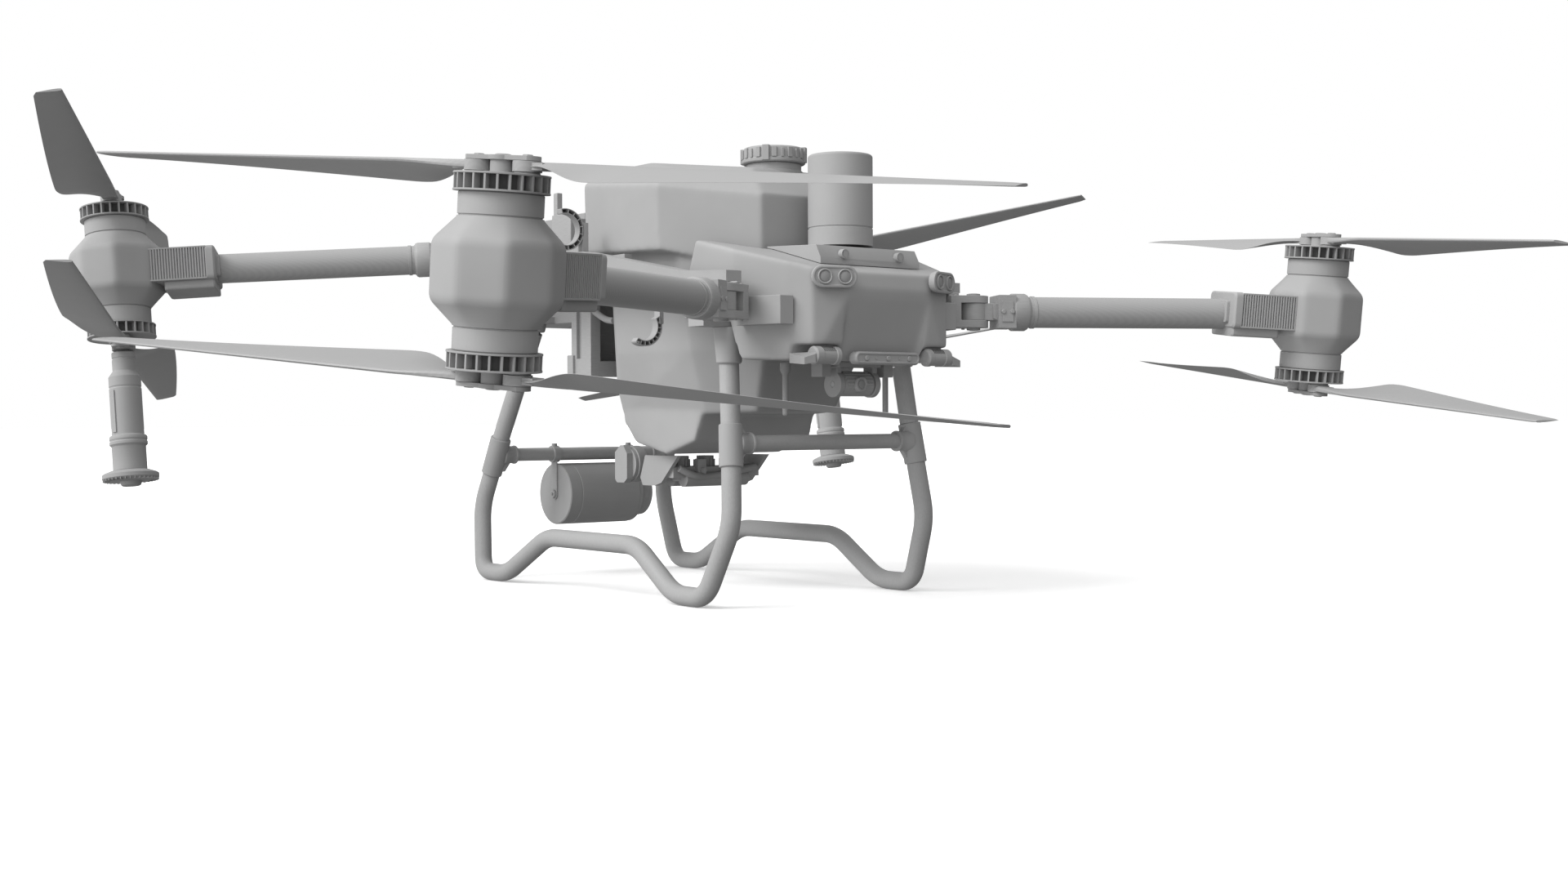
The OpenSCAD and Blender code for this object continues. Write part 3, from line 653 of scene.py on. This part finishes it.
def arm(corner):
    place = arm_frame(corner)
    length = arm_vector(corner).length
    along = turn("Y", 90)
    s = Solids(place)
    end = length - ESC_FAR + 12
    s.lathe([(0, 74), (27.25, 74), (27.25, end), (0, end)], along, 72)
    s.paint = 1
    collar = [(0, 66), (30, 66), (33, 69), (33, 92), (31, 96), (28.6, 96.8), (28.6, 98), (27.3, 98.6),
              (0, 98.6)]
    s.lathe(collar, along, 72)
    s.lathe([(0, 104), (28.6, 104), (28.6, 110), (0, 110)], along, 72)
    s.box((38, -29, -29), (70, 29, 29))
    s.box((44, -31, -18), (64, 31, 18))
    half = KNUCKLE_H / 2 - 0.3
    s.pipe(KNUCKLE_R, 8.05, -half, half)
    s.box((12, -18, -half), (40, 18, half))
    sections = ((66, 20, 25), (92, 8, 30), (30, 22, 12))
    s.hull([(x, y, z) for x, w, h in sections for y in (-w, w) for z in (-h, h)])
    for y in (-1, 1):
        for x in (46, 62):
            bolt = [(0, 28), (4.4, 28), (4.4, 32.6), (3.6, 33.4), (0, 33.4)]
            s.lathe(bolt, turn("X", -90 * y) @ shift(x, 0, 0), 6)
    piece(f"arm_{corner}_tube", s, f"arm_{corner}", [carbon, metal], [f"arm_{corner}"], 1.6)


# ---- spray lances --------------------------------------------------------


def lance(corner):
    s = Solids(motor_frame(corner))
    neck = [(0, LANCE_TOP), (19, LANCE_TOP), (20.5, -151), (20.5, -160), (19.4, -161), (19.4, -163),
            (20.5, -164), (20.5, -185)]
    barrel = [(28.5, -196), (28.5, -214), (27.6, -215), (27.6, -217), (28.5, -218), (28.5, -304)]
    collar = [(32, -305.5), (33.5, -308), (33.5, -313), (32.6, -314), (32.6, -316), (33.5, -317),
              (33.5, -322)]
    foot = [(30.5, -325), (30, -326), (30, -369.5), (6, -369.5), (6, -378), (0, -378)]
    s.lathe(neck + barrel + collar + foot, n=72)
    for k in range(2):
        s.box((26, -5, -300), (30.5, 5, -222), turn("Z", 200 + 180 * k))
    piece(f"lance_{corner}_body", s, f"arm_{corner}", [shell], [f"lance_{corner}"], 0.8)
    disc = Solids(motor_frame(corner))
    disc.lathe([(0, -370), (36, -370.4), (47, -374.6), (50, -377), (50, -384), (48, -386), (36, -389),
                (20, -390), (17, -397), (15, -398), (0, -398)], n=96)
    for k in range(36):
        disc.box((36, -0.7, -389), (49.2, 0.7, -384), turn("Z", 10 * k))
    piece(f"spray_disc_{corner}_rotor", disc, f"disc_{corner}", [dark],
          [f"spray_disc_{corner}"], 0.5)


# ---- tank ----------------------------------------------------------------

TANK_UPPER = [(-110, -300, 690), (-222, -150, 712), (-200, 111, 738), (-150, 163, 738), (-90, -258, 724),
              (-180, -130, 746), (-165, 92, 762), (-120, 140, 770), (-60, 100, 788), (-80, -236, 742),
              (-95, -160, 748), (-110, -300, 560), (-218, -150, 600), (-196, 111, 612), (-150, 163, 612)]
TANK_LOWER = [(-110, -300, 640), (-194, -172, 640), (-180, 60, 640), (-130, 120, 640), (-106, -300, 420),
              (-168, -172, 430), (-162, 62, 430), (-122, 116, 430), (-86, -253, 322), (-125, -158, 319),
              (-140, 96, 364), (-130, 92, 320), (-100, 112, 364)]
TANK_SUMP = [(-127, -158, 340), (-130, -130, 272), (-130, -44, 248), (-125, 60, 268), (-130, 90, 306),
             (-134, 92, 350)]
NECK_LOW, NECK_TOP, FILLER_R = 722.0, 756.0, 43.0
CAP_LOW, CAP_HIGH = 756.5, 786.0


def both_sides(points):
    return list(points) + [(-x, y, z) for x, y, z in points]


def filler():
    """The filler's axis, at the middle of the cap part's box, in millimetres."""
    low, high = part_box("tank_cap")
    return (low.x + high.x) / 2 / MM, (low.y + high.y) / 2 / MM


def tank():
    body = Solids()
    for part in (TANK_UPPER, TANK_LOWER, TANK_SUMP):
        body.hull(both_sides(part))
    mesh = moulded("tank_body", body, [], 3.0, 22)
    piece("tank_body", mesh, "airframe", [tank_plastic], ["tank"], 0)
    x, y = filler()
    neck = Solids(shift(x, y, 0))
    neck.pipe(51, FILLER_R, NECK_LOW, NECK_TOP - 12, n=96)
    neck.pipe(48.5, FILLER_R, NECK_TOP - 13, NECK_TOP, n=96)
    neck.pipe(53, 47, NECK_LOW + 8, NECK_LOW + 12, n=96)
    # Dark plug low in the neck: painted shade down the filler bore.
    neck.paint = 1
    plug = FILLER_R + 1
    neck.lathe([(0, NECK_LOW - 6), (plug, NECK_LOW - 6), (plug, NECK_LOW + 14), (0, NECK_LOW + 14)])
    piece("tank_neck", neck, "airframe", [shell, painted_recess_shade], (), 0.8)


def tank_cap():
    x, y = filler()
    s = Solids(shift(x, y, 0))
    s.lathe([(0, CAP_LOW), (54, CAP_LOW), (56, CAP_LOW + 2), (56, CAP_LOW + 7), (54.6, CAP_LOW + 8),
             (54.6, CAP_HIGH - 7), (53, CAP_HIGH - 3), (50, CAP_HIGH - 1), (40, CAP_HIGH),
             (38, CAP_HIGH - 1.5), (0, CAP_HIGH - 1.5)], n=96)
    for k in range(24):
        wide, top = (4.2, CAP_HIGH - 4) if k % 2 else (2.4, CAP_HIGH - 6)
        s.box((52, -wide, CAP_LOW + 8), (57.2, wide, top), turn("Z", 15 * k + 8))
    for k in range(4):
        s.box((50, -6, CAP_LOW + 2), (59, 6, CAP_HIGH - 1), turn("Z", 90 * k + 38))
    s.box((-34, -6, CAP_HIGH - 4), (34, 6, CAP_HIGH - 0.2))
    piece("tank_cap_lid", s, "cap", [dark], ["tank_cap"], 0.9)


# ---- nose ----------------------------------------------------------------

NOSE_PLAN = [(-204, -150), (-206, -235), (-206, -345), (-168, -440), (-146, -478), (-84, -500),
             (84, -500), (146, -478), (168, -440), (206, -345), (206, -235), (204, -150)]
NOSE_PROFILE = [(-240, 611), (-330, 592), (-455, 560), (-492, 548), (-500, 520), (-484, 430), (-468, 404),
                (-358, 407), (-335, 470), (-218, 556)]
TANK_GAP = [(-118, -310), (-231, -157), (-231, 200), (231, 200), (231, -157), (118, -310)]
LAMP_Y, LAMP_Z, BAR_Z = -478.0, 412.0, 409.0
CROSSWISE = Matrix(((0, 0, 1, 0), (1, 0, 0, 0), (0, 1, 0, 0), (0, 0, 0, 1)))


def nose():
    plan = Solids().prism(NOSE_PLAN, 380, 640)
    profile = Solids().prism(NOSE_PROFILE, -300, 300, CROSSWISE)
    gap = Solids().prism(TANK_GAP, 300, 700)
    panel, points = Solids(), []
    for x in (-1, 1):
        rim = [(90, -500, 514), (88, -488.4, 480), (84, -463, 402), (90, -540, 514), (84, -540, 402)]
        points += [(x * across, y, z) for across, y, z in rim]
    panel.hull(points)
    under = Solids().box((-78, -520, 380), (78, LAMP_Y + 4, BAR_Z + 12))
    for flip in SIDES:
        under.box((-170, LAMP_Y - 30, 380), (-90, LAMP_Y + 34, LAMP_Z + 17), flip)
    cuts = [("INTERSECT", profile), ("DIFFERENCE", gap), ("DIFFERENCE", panel), ("DIFFERENCE", under)]
    mesh = moulded("nose_shell", plan, cuts, 2.4, 36)
    piece("nose_shell", mesh, "airframe", [shell], ["nose_fairing"], 0)


def stadium(half, r, inset=0.0, n=14):
    """Outline of a rounded bar, seen from the front."""
    outline = []
    for centre, start in ((half, -90), (-half, 90)):
        for k in range(n + 1):
            a = math.radians(start + 180 * k / n)
            outline.append((centre + (r - inset) * math.cos(a), (r - inset) * math.sin(a)))
    return outline


def vision_modules():
    s = Solids()
    for flip in SIDES:
        face = flip @ shift(-115, -490, 537) @ turn("Z", -20) @ turn("X", 90)
        s.paint = 0
        rows = [(1, 2.5), (9, 0), (12.6, 0.6), (13.4, 2.4), (13.4, 4.2), (11.8, 5.4)]
        s.skin([[(x, y, z) for x, y in stadium(21, 18, inset)] for z, inset in rows], face)
        for u in (-17, 17):
            centre = face @ shift(u, 0, 0)
            s.lathe([(0, 11), (12.4, 11), (12.4, 14.4), (11.6, 15.2), (10.6, 15.2), (9.8, 14.2), (9.8, 12.4),
                     (0, 12.4)], centre, 48)
            s.paint = 1
            s.lathe([(8.4, 12), (8.4, 13.4), (6, 14.2), (3, 14.7), (0, 14.8)][::-1] + [(0, 12)], centre, 40)
            s.paint = 0
    piece("vision_pads", s, "airframe", [shell, glass], ["vision_modules"], 0.4, 2)


def nose_lamps():
    s = Solids()
    for flip in SIDES:
        lamp = flip @ shift(-148, LAMP_Y, LAMP_Z) @ turn("Y", 90)
        s.paint = 0
        profile = [(0, 0), (12, 0), (14.8, 2.8), (14.8, 15), (13.6, 16), (13.6, 42), (14.8, 43), (14.8, 51),
                   (12, 54), (0, 54)]
        s.lathe(profile, lamp, 56)
        # Dark slats and a slot on the lamp housing: painted shade standing for its vent gaps.
        s.paint = 1
        for k in range(9):
            s.arc(13.3, 14.3, 120, 240, 17 + 2.8 * k, 18.5 + 2.8 * k, lamp, 10)
        s.box((-14.6, -1.8, 18), (-13.2, 1.8, 41), lamp @ turn("Z", 8))
        s.paint = 0
        arm_back = [(x, LAMP_Y + 30, z) for x, z in ((-170, 400), (-170, 416), (-146, 417), (-146, 398))]
        arm_front = [(-170, LAMP_Y - 8, 397), (-170, LAMP_Y - 8, 408), (-150, LAMP_Y - 12, 414),
                     (-150, LAMP_Y - 12, 400), (-146, LAMP_Y - 9, 417)]
        s.hull(arm_back + arm_front, flip)
    bar = shift(0, LAMP_Y, BAR_Z) @ turn("X", 90)
    rows = [(-2, 2), (0, 0), (14, 0), (17, 2.2), (17, 4.4), (15.2, 5.4)]
    s.skin([[(x, y, z) for x, y in stadium(60, 10.5, inset)] for z, inset in rows], bar)
    for x in (-46, 0, 46):
        s.lathe([(0, 14), (4.4, 14), (4.4, 17.2), (3.4, 18), (0, 18)], bar @ shift(x, 0, 0), 28)
    for x in (-25, 25):
        s.lathe([(0, 14), (2.4, 14), (2.4, 16.4), (0, 16.4)], bar @ shift(x, 0, 0), 20)
    piece("nose_lamp_units", s, "airframe", [metal, painted_recess_shade], ["nose_lamps"], 0.5, 2)


def radar():
    tray = Solids().copy_of("radar_tray")
    piece("radar_tray_shell", tray, "airframe", [shell], ["radar_tray"], 2.2, 4)
    bosses = Solids()
    for x in (-60, 60):
        front = shift(x, -452, 579) @ turn("X", 90)
        bosses.lathe([(0, -4), (8, -4), (8, 5), (7, 6), (5, 6), (5, 4.4), (0, 4.4)], front, 36)
    piece("radar_tray_trim", bosses, "airframe", [shell], (), 0.4, 2)
    low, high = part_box("front_radar")
    drum = Solids(shift(0, (low.y + high.y) / 2 / MM, 0))
    top = high.z / MM
    r, edge = 54.5, 5
    profile = [(0, 599.2), (r, 599.2), (r, 628.2), (r - 1.2, 629), (r - 1.2, 630.6), (r, 631.4),
               (r, top - edge)]
    profile += [(r - edge * (1 - math.cos(a)), top - edge + edge * math.sin(a))
                for a in (math.pi / 2 * k / 6 for k in range(1, 7))]
    drum.lathe(profile + [(0, top)], n=96)
    piece("front_radar_drum", drum, "airframe", [shell], ["front_radar"], 0)


def gimbal():
    yoke = Solids().copy_of("gimbal_yoke")
    piece("gimbal_yoke_frame", yoke, "airframe", [dark], ["gimbal_yoke"], 1.6)
    centre = joint_at("camera_tilt")
    s = Solids(Matrix.Translation(centre) @ turn("Y", 90))
    half = [(0, 44), (4.9, 44), (4.9, 33), (18, 33), (20, 31)]
    s.lathe([(r, -x) for r, x in half] + half[::-1])
    for k in range(20):
        if 80 < 18 * k < 280:
            s.box((19, -1.6, -28), (21.6, 1.6, 28), turn("Z", 18 * k))
    ahead = turn("Y", -90) @ turn("X", 90)
    s.lathe([(0, 0), (13, 0), (13, 23), (12, 25), (9, 25), (8, 23.5), (0, 23.5)], ahead, 48)
    s.paint = 1
    s.lathe([(0, 22), (7.6, 22), (7, 24.4), (4, 25), (0, 25.2)], ahead, 40)
    piece("gimbal_camera_head", s, "camera_head", [metal, glass], ["gimbal_camera"], 0.7, 2)


def antennas():
    s = Solids()
    low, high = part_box("antennas")
    y = (low.y + high.y) / 2 / MM
    for x in (-110, 110):
        place = shift(x, y, 0)
        angles = [math.pi / 2 * k / 6 for k in range(1, 6)]
        ball = [(5 * math.sin(a), 320 - 5 * math.cos(a)) for a in angles]
        base = [(5, 322), (5, 384), (6.5, 386), (9, 392), (9, 403), (0, 403)]
        s.lathe([(0, 315.01)] + ball + base, place, 36)
    piece("antenna_rods", s, "airframe", [rubber], ["antennas"], 0)


# ---- landing gear --------------------------------------------------------

SKID_R = 16.5
SKID_CORNERS = [(-204, 449, 205), (-216, 464, 143), (-229, 438, SKID_R), (-228, 349, SKID_R),
                (-225, 204, 93), (-225, -91, 93), (-228, -209, SKID_R), (-229, -299, SKID_R),
                (-213, -350, 137), (-203.7, -337, 232)]
FRONT_TEE = ((-203.7, -337, 232), (-197, -327, 302))
REAR_TEE = ((-204, 449, 205), (-198, 421, 275))
FRONT_LEG_TOP, REAR_LEG_TOP = (-190, -314, 402), (-176, 331, 478)
CROSS_FRONT, CROSS_REAR = (-332, 271), (434, 242)
CROSS_R, CROSS_END = 13.0, 160


def along_line(a, b):
    """A frame with its origin at a and +Z towards b."""
    a, b = Vector(a), Vector(b)
    return Matrix.Translation(a) @ (b - a).to_track_quat("Z", "Y").to_matrix().to_4x4()


def rod(s, a, b, r, at=None, n=48):
    length = (Vector(b) - Vector(a)).length
    place = along_line(a, b)
    s.lathe([(0, 0), (r, 0), (r, length), (0, length)], at @ place if at else place, n)


def skids():
    s = Solids()
    for flip in SIDES:
        s.tube(arc_corner(SKID_CORNERS, 30, 10), SKID_R, flip, 40)
        rod(s, FRONT_TEE[1], FRONT_LEG_TOP, SKID_R, flip)
        rod(s, REAR_TEE[1], REAR_LEG_TOP, SKID_R, flip)
    piece("skid_tubes", s, "airframe", [tube_metal], ["skids"], 0)
    cross = Solids()
    for y, z in (CROSS_FRONT, CROSS_REAR):
        profile = [(0, -CROSS_END), (CROSS_R, -CROSS_END), (CROSS_R, CROSS_END), (0, CROSS_END)]
        cross.lathe(profile, shift(0, y, z) @ turn("Y", 90), 48)
    piece("cross_tube_pair", cross, "airframe", [tube_metal], ["cross_tubes"], 0)


def sleeve(length, r):
    """Profile of a clamp sleeve with lips at both ends."""
    return [(0, 0), (r - 1.2, 0), (r, 1.2), (r, length - 1.2), (r - 1.2, length), (0, length)]


def leg_joints():
    s = Solids()
    for flip in SIDES:
        for ends, x, (y, z) in ((FRONT_TEE, -200.3, CROSS_FRONT), (REAR_TEE, -200.8, CROSS_REAR)):
            length = (Vector(ends[1]) - Vector(ends[0])).length
            s.lathe(sleeve(length, SKID_R + 3.5), flip @ along_line(*ends), 56)
            branch = flip @ shift(x, y, z) @ turn("Y", 90)
            reach = -CROSS_END - x
            s.lathe([(0, 0), (20, 12), (18, 24), (17, 26), (17, reach - 5), (18.2, reach - 4), (18.2, reach),
                     (0, reach)], branch, 48)
            web = [(0, -33), (16, -33), (35, -6), (35, 6), (16, 33), (0, 33)]
            s.prism(web, -5, 5, flip @ shift(x, y, z) @ turn("X", 90))
        front = [(0, 402), (19, 402), (21, 404), (24, 440), (26, 461.7), (0, 461.7)]
        rear = [(0, 478.3), (19, 478.3), (21, 480), (24, 493.7), (0, 493.7)]
        for socket, (x, y, z) in ((front, FRONT_LEG_TOP), (rear, REAR_LEG_TOP)):
            s.lathe(socket, flip @ shift(x, y, 0), 56)
    piece("leg_joint_castings", s, "airframe", [shell], ["leg_joints"], 1.2)


# ---- under the body ------------------------------------------------------


def rear_radar():
    low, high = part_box("rear_radar")
    x0, x1 = low.x / MM, high.x / MM
    y, z, r = (low.y + high.y) / 2 / MM, (low.z + high.z) / 2 / MM, (high.z - low.z) / 2 / MM
    s = Solids(shift(x0, y, z) @ turn("Y", 90))
    step = x1 - x0 - 31
    s.lathe([(0, 0), (r - 2, 0), (r, 2), (r, 26), (r - 0.8, 26.6), (r - 0.8, 28), (r, 28.6), (r, step - 10),
             (r - 1, step - 9), (r - 1, step - 2), (r - 3, step), (r - 12, step), (r - 12, step + 20),
             (r - 13, step + 21), (r - 13, step + 28), (r - 16, step + 31), (0, step + 31)], n=96)
    piece("rear_radar_drum", s, "airframe", [dark], ["rear_radar"], 0.5, 2)
    straps = Solids().copy_of("rear_radar_bracket")
    piece("rear_radar_straps", straps, "airframe", [metal], ["rear_radar_bracket"], 0.5, 2)
    pivot = Solids(shift(x0 - 7.2, y, z) @ turn("Y", 90))
    pivot.lathe([(0, -2.4), (2.6, -2.4), (2.6, 0.6), (5.5, 0.6), (8.5, 1.2), (8.5, 4.6), (0, 4.6)], n=32)
    piece("rear_radar_pivot", pivot, "airframe", [metal], (), 0.4, 2)


def plain_refined(node, name, look, bevel, extras=None):
    """A CAD node's own shape with rounded edges, and any extra detail drawn onto it."""
    s = Solids().copy_of(node)
    if extras:
        extras(s)
    piece(name, s, "airframe" if node != "battery" else "battery_pack", [look, painted_recess_shade], [node], bevel, 3)


def pump_details(s):
    """Hoses, motors and valve blocks bundled between the side plates."""
    for x in (-62, -6, 48):
        motor = [(0, 198), (13, 198), (16, 201), (16, 212), (17.5, 213), (17.5, 217), (16, 218), (16, 240),
                 (0, 240)]
        s.lathe(motor, shift(x, 8, 0), 32)
        for k in range(8):
            s.box((15, -1.5, 222), (18.5, 1.5, 238), shift(x, 8, 0) @ turn("Z", 45 * k))
    for k, y in enumerate((-26, -8, 30, 46)):
        route = [(-88, y, 222), (-60, y - 6, 208 + 3 * k), (-20, y + 4, 206), (24, y - 3, 212 - 2 * k),
                 (84, y, 222)]
        s.tube(arc_corner(route, 18, 5), 6.5, None, 16)
    for x in (-40, 22):
        s.box((x - 9, -30, 204), (x + 9, -14, 238))
        s.lathe([(0, 0), (5, 0), (5, 8), (0, 8)], shift(x, -30, 218) @ turn("X", 90), 6)


# ---- arm roots and clips -------------------------------------------------


def hinge_details(s):
    """Pin nuts and bolt heads on each arm's clevis."""
    for corner in CORNERS:
        place = arm_frame(corner)
        for up in (1, -1):
            z = up * (KNUCKLE_H / 2 + 13)
            flip = turn("X", 0 if up > 0 else 180)
            s.lathe([(0, 27), (11, 27), (11, 31.4), (9, 32.6), (0, 32.6)], place @ flip, 6)
            for x, y in ((-38, 17), (-38, -17), (-14, 18), (-14, -18)):
                s.lathe([(0, abs(z) - 1), (3.4, abs(z) - 1), (3.4, abs(z) + 2.2), (0, abs(z) + 2.2)],
                        place @ flip @ shift(x, y, 0), 6)


def boots():
    s = Solids()
    for flip in SIDES:
        sleeve_at = flip @ shift(-231.6, -386, 490) @ turn("Z", 27.8) @ turn("Y", 90)
        profile = [(0, 0)]
        for k in range(37):
            profile.append((15.2 + 1.7 * math.cos(2 * math.pi * k / 6), 0.1 + 26 * k / 36))
        s.lathe(profile + [(0, 26.1)], sleeve_at, 48)
        fairing = [(-214, -366), (-214, -392), (-192, -453), (-165, -453), (-170, -439), (-199.5, -364)]
        s.prism(fairing, 462, 508, flip)
    piece("cable_boot_pair", s, "airframe", [shell], ["cable_boots"], 2.4, 3)


def clip(s, place, r, start, end):
    """A ribbed channel bent round an arm: two walls, a back and ribs, open to the front."""
    s.paint = 0
    s.arc(r, r + 1.6, start, end, -8, 8, place)
    s.arc(r + 7.9, r + 9.5, start, end, -8, 8, place)
    s.arc(r + 1, r + 9, start, end, -8, -4, place)
    ribs = 9
    for k in range(ribs + 1):
        s.box((r + 0.8, -0.9, -7), (r + 8.8, 0.9, 7.6), place @ turn("Z", start + (end - start) * k / ribs))
    # Dark strip along the inside of the channel: painted shade in its hollow.
    s.paint = 1
    s.arc(r + 1.2, r + 8.4, start, end, -4.4, -3.6, place)
    s.paint = 0


def clips():
    s = Solids()
    for flip in SIDES:
        upper = flip @ shift(-284, 45, 646) @ turn("X", 90)
        clip(s, upper, 27.5, -104, 104)
        s.box((-250, 37, 608), (-238, 53, 660), flip)
        lower = flip @ shift(-284, -202, 466) @ turn("X", 90)
        clip(s, lower, 24, -125, 30)
        s.box((-256, -210, 470), (-248, -194, 527.6), flip)
        s.box((-302, -210, 437), (-296, -194, 440.6), flip)
    piece("arm_clip_hooks", s, "airframe", [dark, painted_recess_shade], ["arm_clips"], 0.4, 2)


def hose():
    route = [(-142, 169.8, 512), (-144, 140, 500), (-150, 112, 493), (-152, 88, 491)]
    s = Solids().tube(arc_corner(route, 12, 6), 6, None, 24)
    piece("supply_hose_tube", s, "airframe", [rubber], ["supply_hose"], 0)


# ---- assembly ------------------------------------------------------------

tank()
tank_cap()
nose()
vision_modules()
nose_lamps()
radar()
gimbal()
antennas()
skids()
leg_joints()
rear_radar()
boots()
clips()
hose()
plain_refined("center_frame", "center_frame_beams", dark, 2.2)
plain_refined("rear_frame", "rear_frame_cage", metal, 1.6)
plain_refined("battery", "battery_case", dark, 2.0)
plain_refined("rear_sensor", "rear_sensor_unit", dark, 1.6)
plain_refined("pump_base", "pump_base_unit", dark, 1.2, pump_details)
plain_refined("arm_hinges", "arm_hinge_clevises", metal, 1.6, hinge_details)
for corner in CORNERS:
    arm(corner)
    pod(corner)
    for level in ("upper", "lower"):
        hub(corner, level)
        for letter in ("a", "b"):
            blade(corner, level, letter)
for corner in ("rr", "rl"):
    lance(corner)


# ---- stage ---------------------------------------------------------------


def floor():
    mesh = bpy.data.meshes.new("floor")
    half = 60.0
    corners = [(-half, -half, 0), (half, -half, 0), (half, half, 0), (-half, half, 0)]
    mesh.from_pydata(corners, [], [(0, 1, 2, 3)])
    obj = linked("floor", mesh)
    material, tree, shader = node_tree("Pale floor")
    tint = ramp(tree, noise(tree, 3.0), [(0.3, grey(0.90)), (0.7, grey(0.92))])
    wire(tree, tint, shader.inputs["Base Color"])
    shader.inputs["Roughness"].default_value = 0.9
    shader.inputs["Specular IOR Level"].default_value = 0.0
    shader.inputs["Emission Color"].default_value = (1, 1, 1, 1)
    shader.inputs["Emission Strength"].default_value = 0.3
    mesh.materials.append(material)
    obj.visible_diffuse = False
    obj.visible_glossy = False


# Brightness of the studio dome by direction: even light plus a push from the right and above
DOME_EVEN, DOME_PUSH = 0.62, (-0.42, 0.12, 0.36)
# The key light: where it stands, its spread in degrees and its strength
SUN_FROM, SUN_SPREAD, SUN_STRENGTH = (-0.75, 0.10, 0.64), 34.0, 2.1


def sky():
    """A soft dome that is brighter from the right and above, seen as plain white."""
    world = bpy.data.worlds.new("Studio")
    bpy.context.scene.world = world
    world.use_nodes = True
    tree = world.node_tree
    dome = tree.nodes["Background"]
    place = tree.nodes.new("ShaderNodeTexCoord")
    push = tree.nodes.new("ShaderNodeVectorMath")
    push.operation = "DOT_PRODUCT"
    wire(tree, place.outputs["Generated"], push.inputs[0])
    push.inputs[1].default_value = DOME_PUSH
    total = tree.nodes.new("ShaderNodeMath")
    total.operation = "ADD"
    wire(tree, push.outputs["Value"], total.inputs[0])
    total.inputs[1].default_value = DOME_EVEN
    never_dark = tree.nodes.new("ShaderNodeMath")
    never_dark.operation = "MAXIMUM"
    wire(tree, total.outputs["Value"], never_dark.inputs[0])
    never_dark.inputs[1].default_value = 0.0
    dome.inputs["Color"].default_value = (1, 1, 1, 1)
    wire(tree, never_dark.outputs["Value"], dome.inputs["Strength"])
    backdrop = tree.nodes.new("ShaderNodeBackground")
    backdrop.inputs["Color"].default_value = (1, 1, 1, 1)
    backdrop.inputs["Strength"].default_value = 1.0
    rays = tree.nodes.new("ShaderNodeLightPath")
    mix = tree.nodes.new("ShaderNodeMixShader")
    wire(tree, rays.outputs["Is Camera Ray"], mix.inputs["Fac"])
    wire(tree, dome.outputs["Background"], mix.inputs[1])
    wire(tree, backdrop.outputs["Background"], mix.inputs[2])
    wire(tree, mix.outputs["Shader"], tree.nodes["World Output"].inputs["Surface"])


def sun():
    data = bpy.data.lights.new("key", "SUN")
    data.angle = math.radians(SUN_SPREAD)
    data.energy = SUN_STRENGTH
    obj = bpy.data.objects.new("key", data)
    bpy.context.scene.collection.objects.link(obj)
    obj.rotation_euler = Vector(SUN_FROM).to_track_quat("Z", "Y").to_euler()


# The camera: azimuth, pitch and roll in degrees, and its place in metres
CAMERA_TURN = (38.41, 0.753, -0.246)
CAMERA_AT = (-2.0084, -2.7520, 0.3145)


def camera():
    """Low three-quarter view from the drone's front right."""
    azimuth, pitch, roll = (math.radians(a) for a in CAMERA_TURN)
    level = Vector((math.sin(azimuth), math.cos(azimuth), 0))
    ahead = level * math.cos(pitch) - Vector((0, 0, math.sin(pitch)))
    right = Vector((math.cos(azimuth), -math.sin(azimuth), 0))
    up = right.cross(ahead)
    level_x = right * math.cos(roll) + up * math.sin(roll)
    level_y = up * math.cos(roll) - right * math.sin(roll)
    data = bpy.data.cameras.new("camera")
    data.lens = 42.43
    data.sensor_width = 36.0
    data.clip_start, data.clip_end = 0.05, 200.0
    obj = bpy.data.objects.new("camera", data)
    bpy.context.scene.collection.objects.link(obj)
    turned = Matrix((level_x, level_y, -ahead)).transposed().to_4x4()
    obj.matrix_world = Matrix.Translation(CAMERA_AT) @ turned
    bpy.context.scene.camera = obj


floor()
sky()
sun()
camera()
bpy.context.scene.view_settings.view_transform = "Standard"
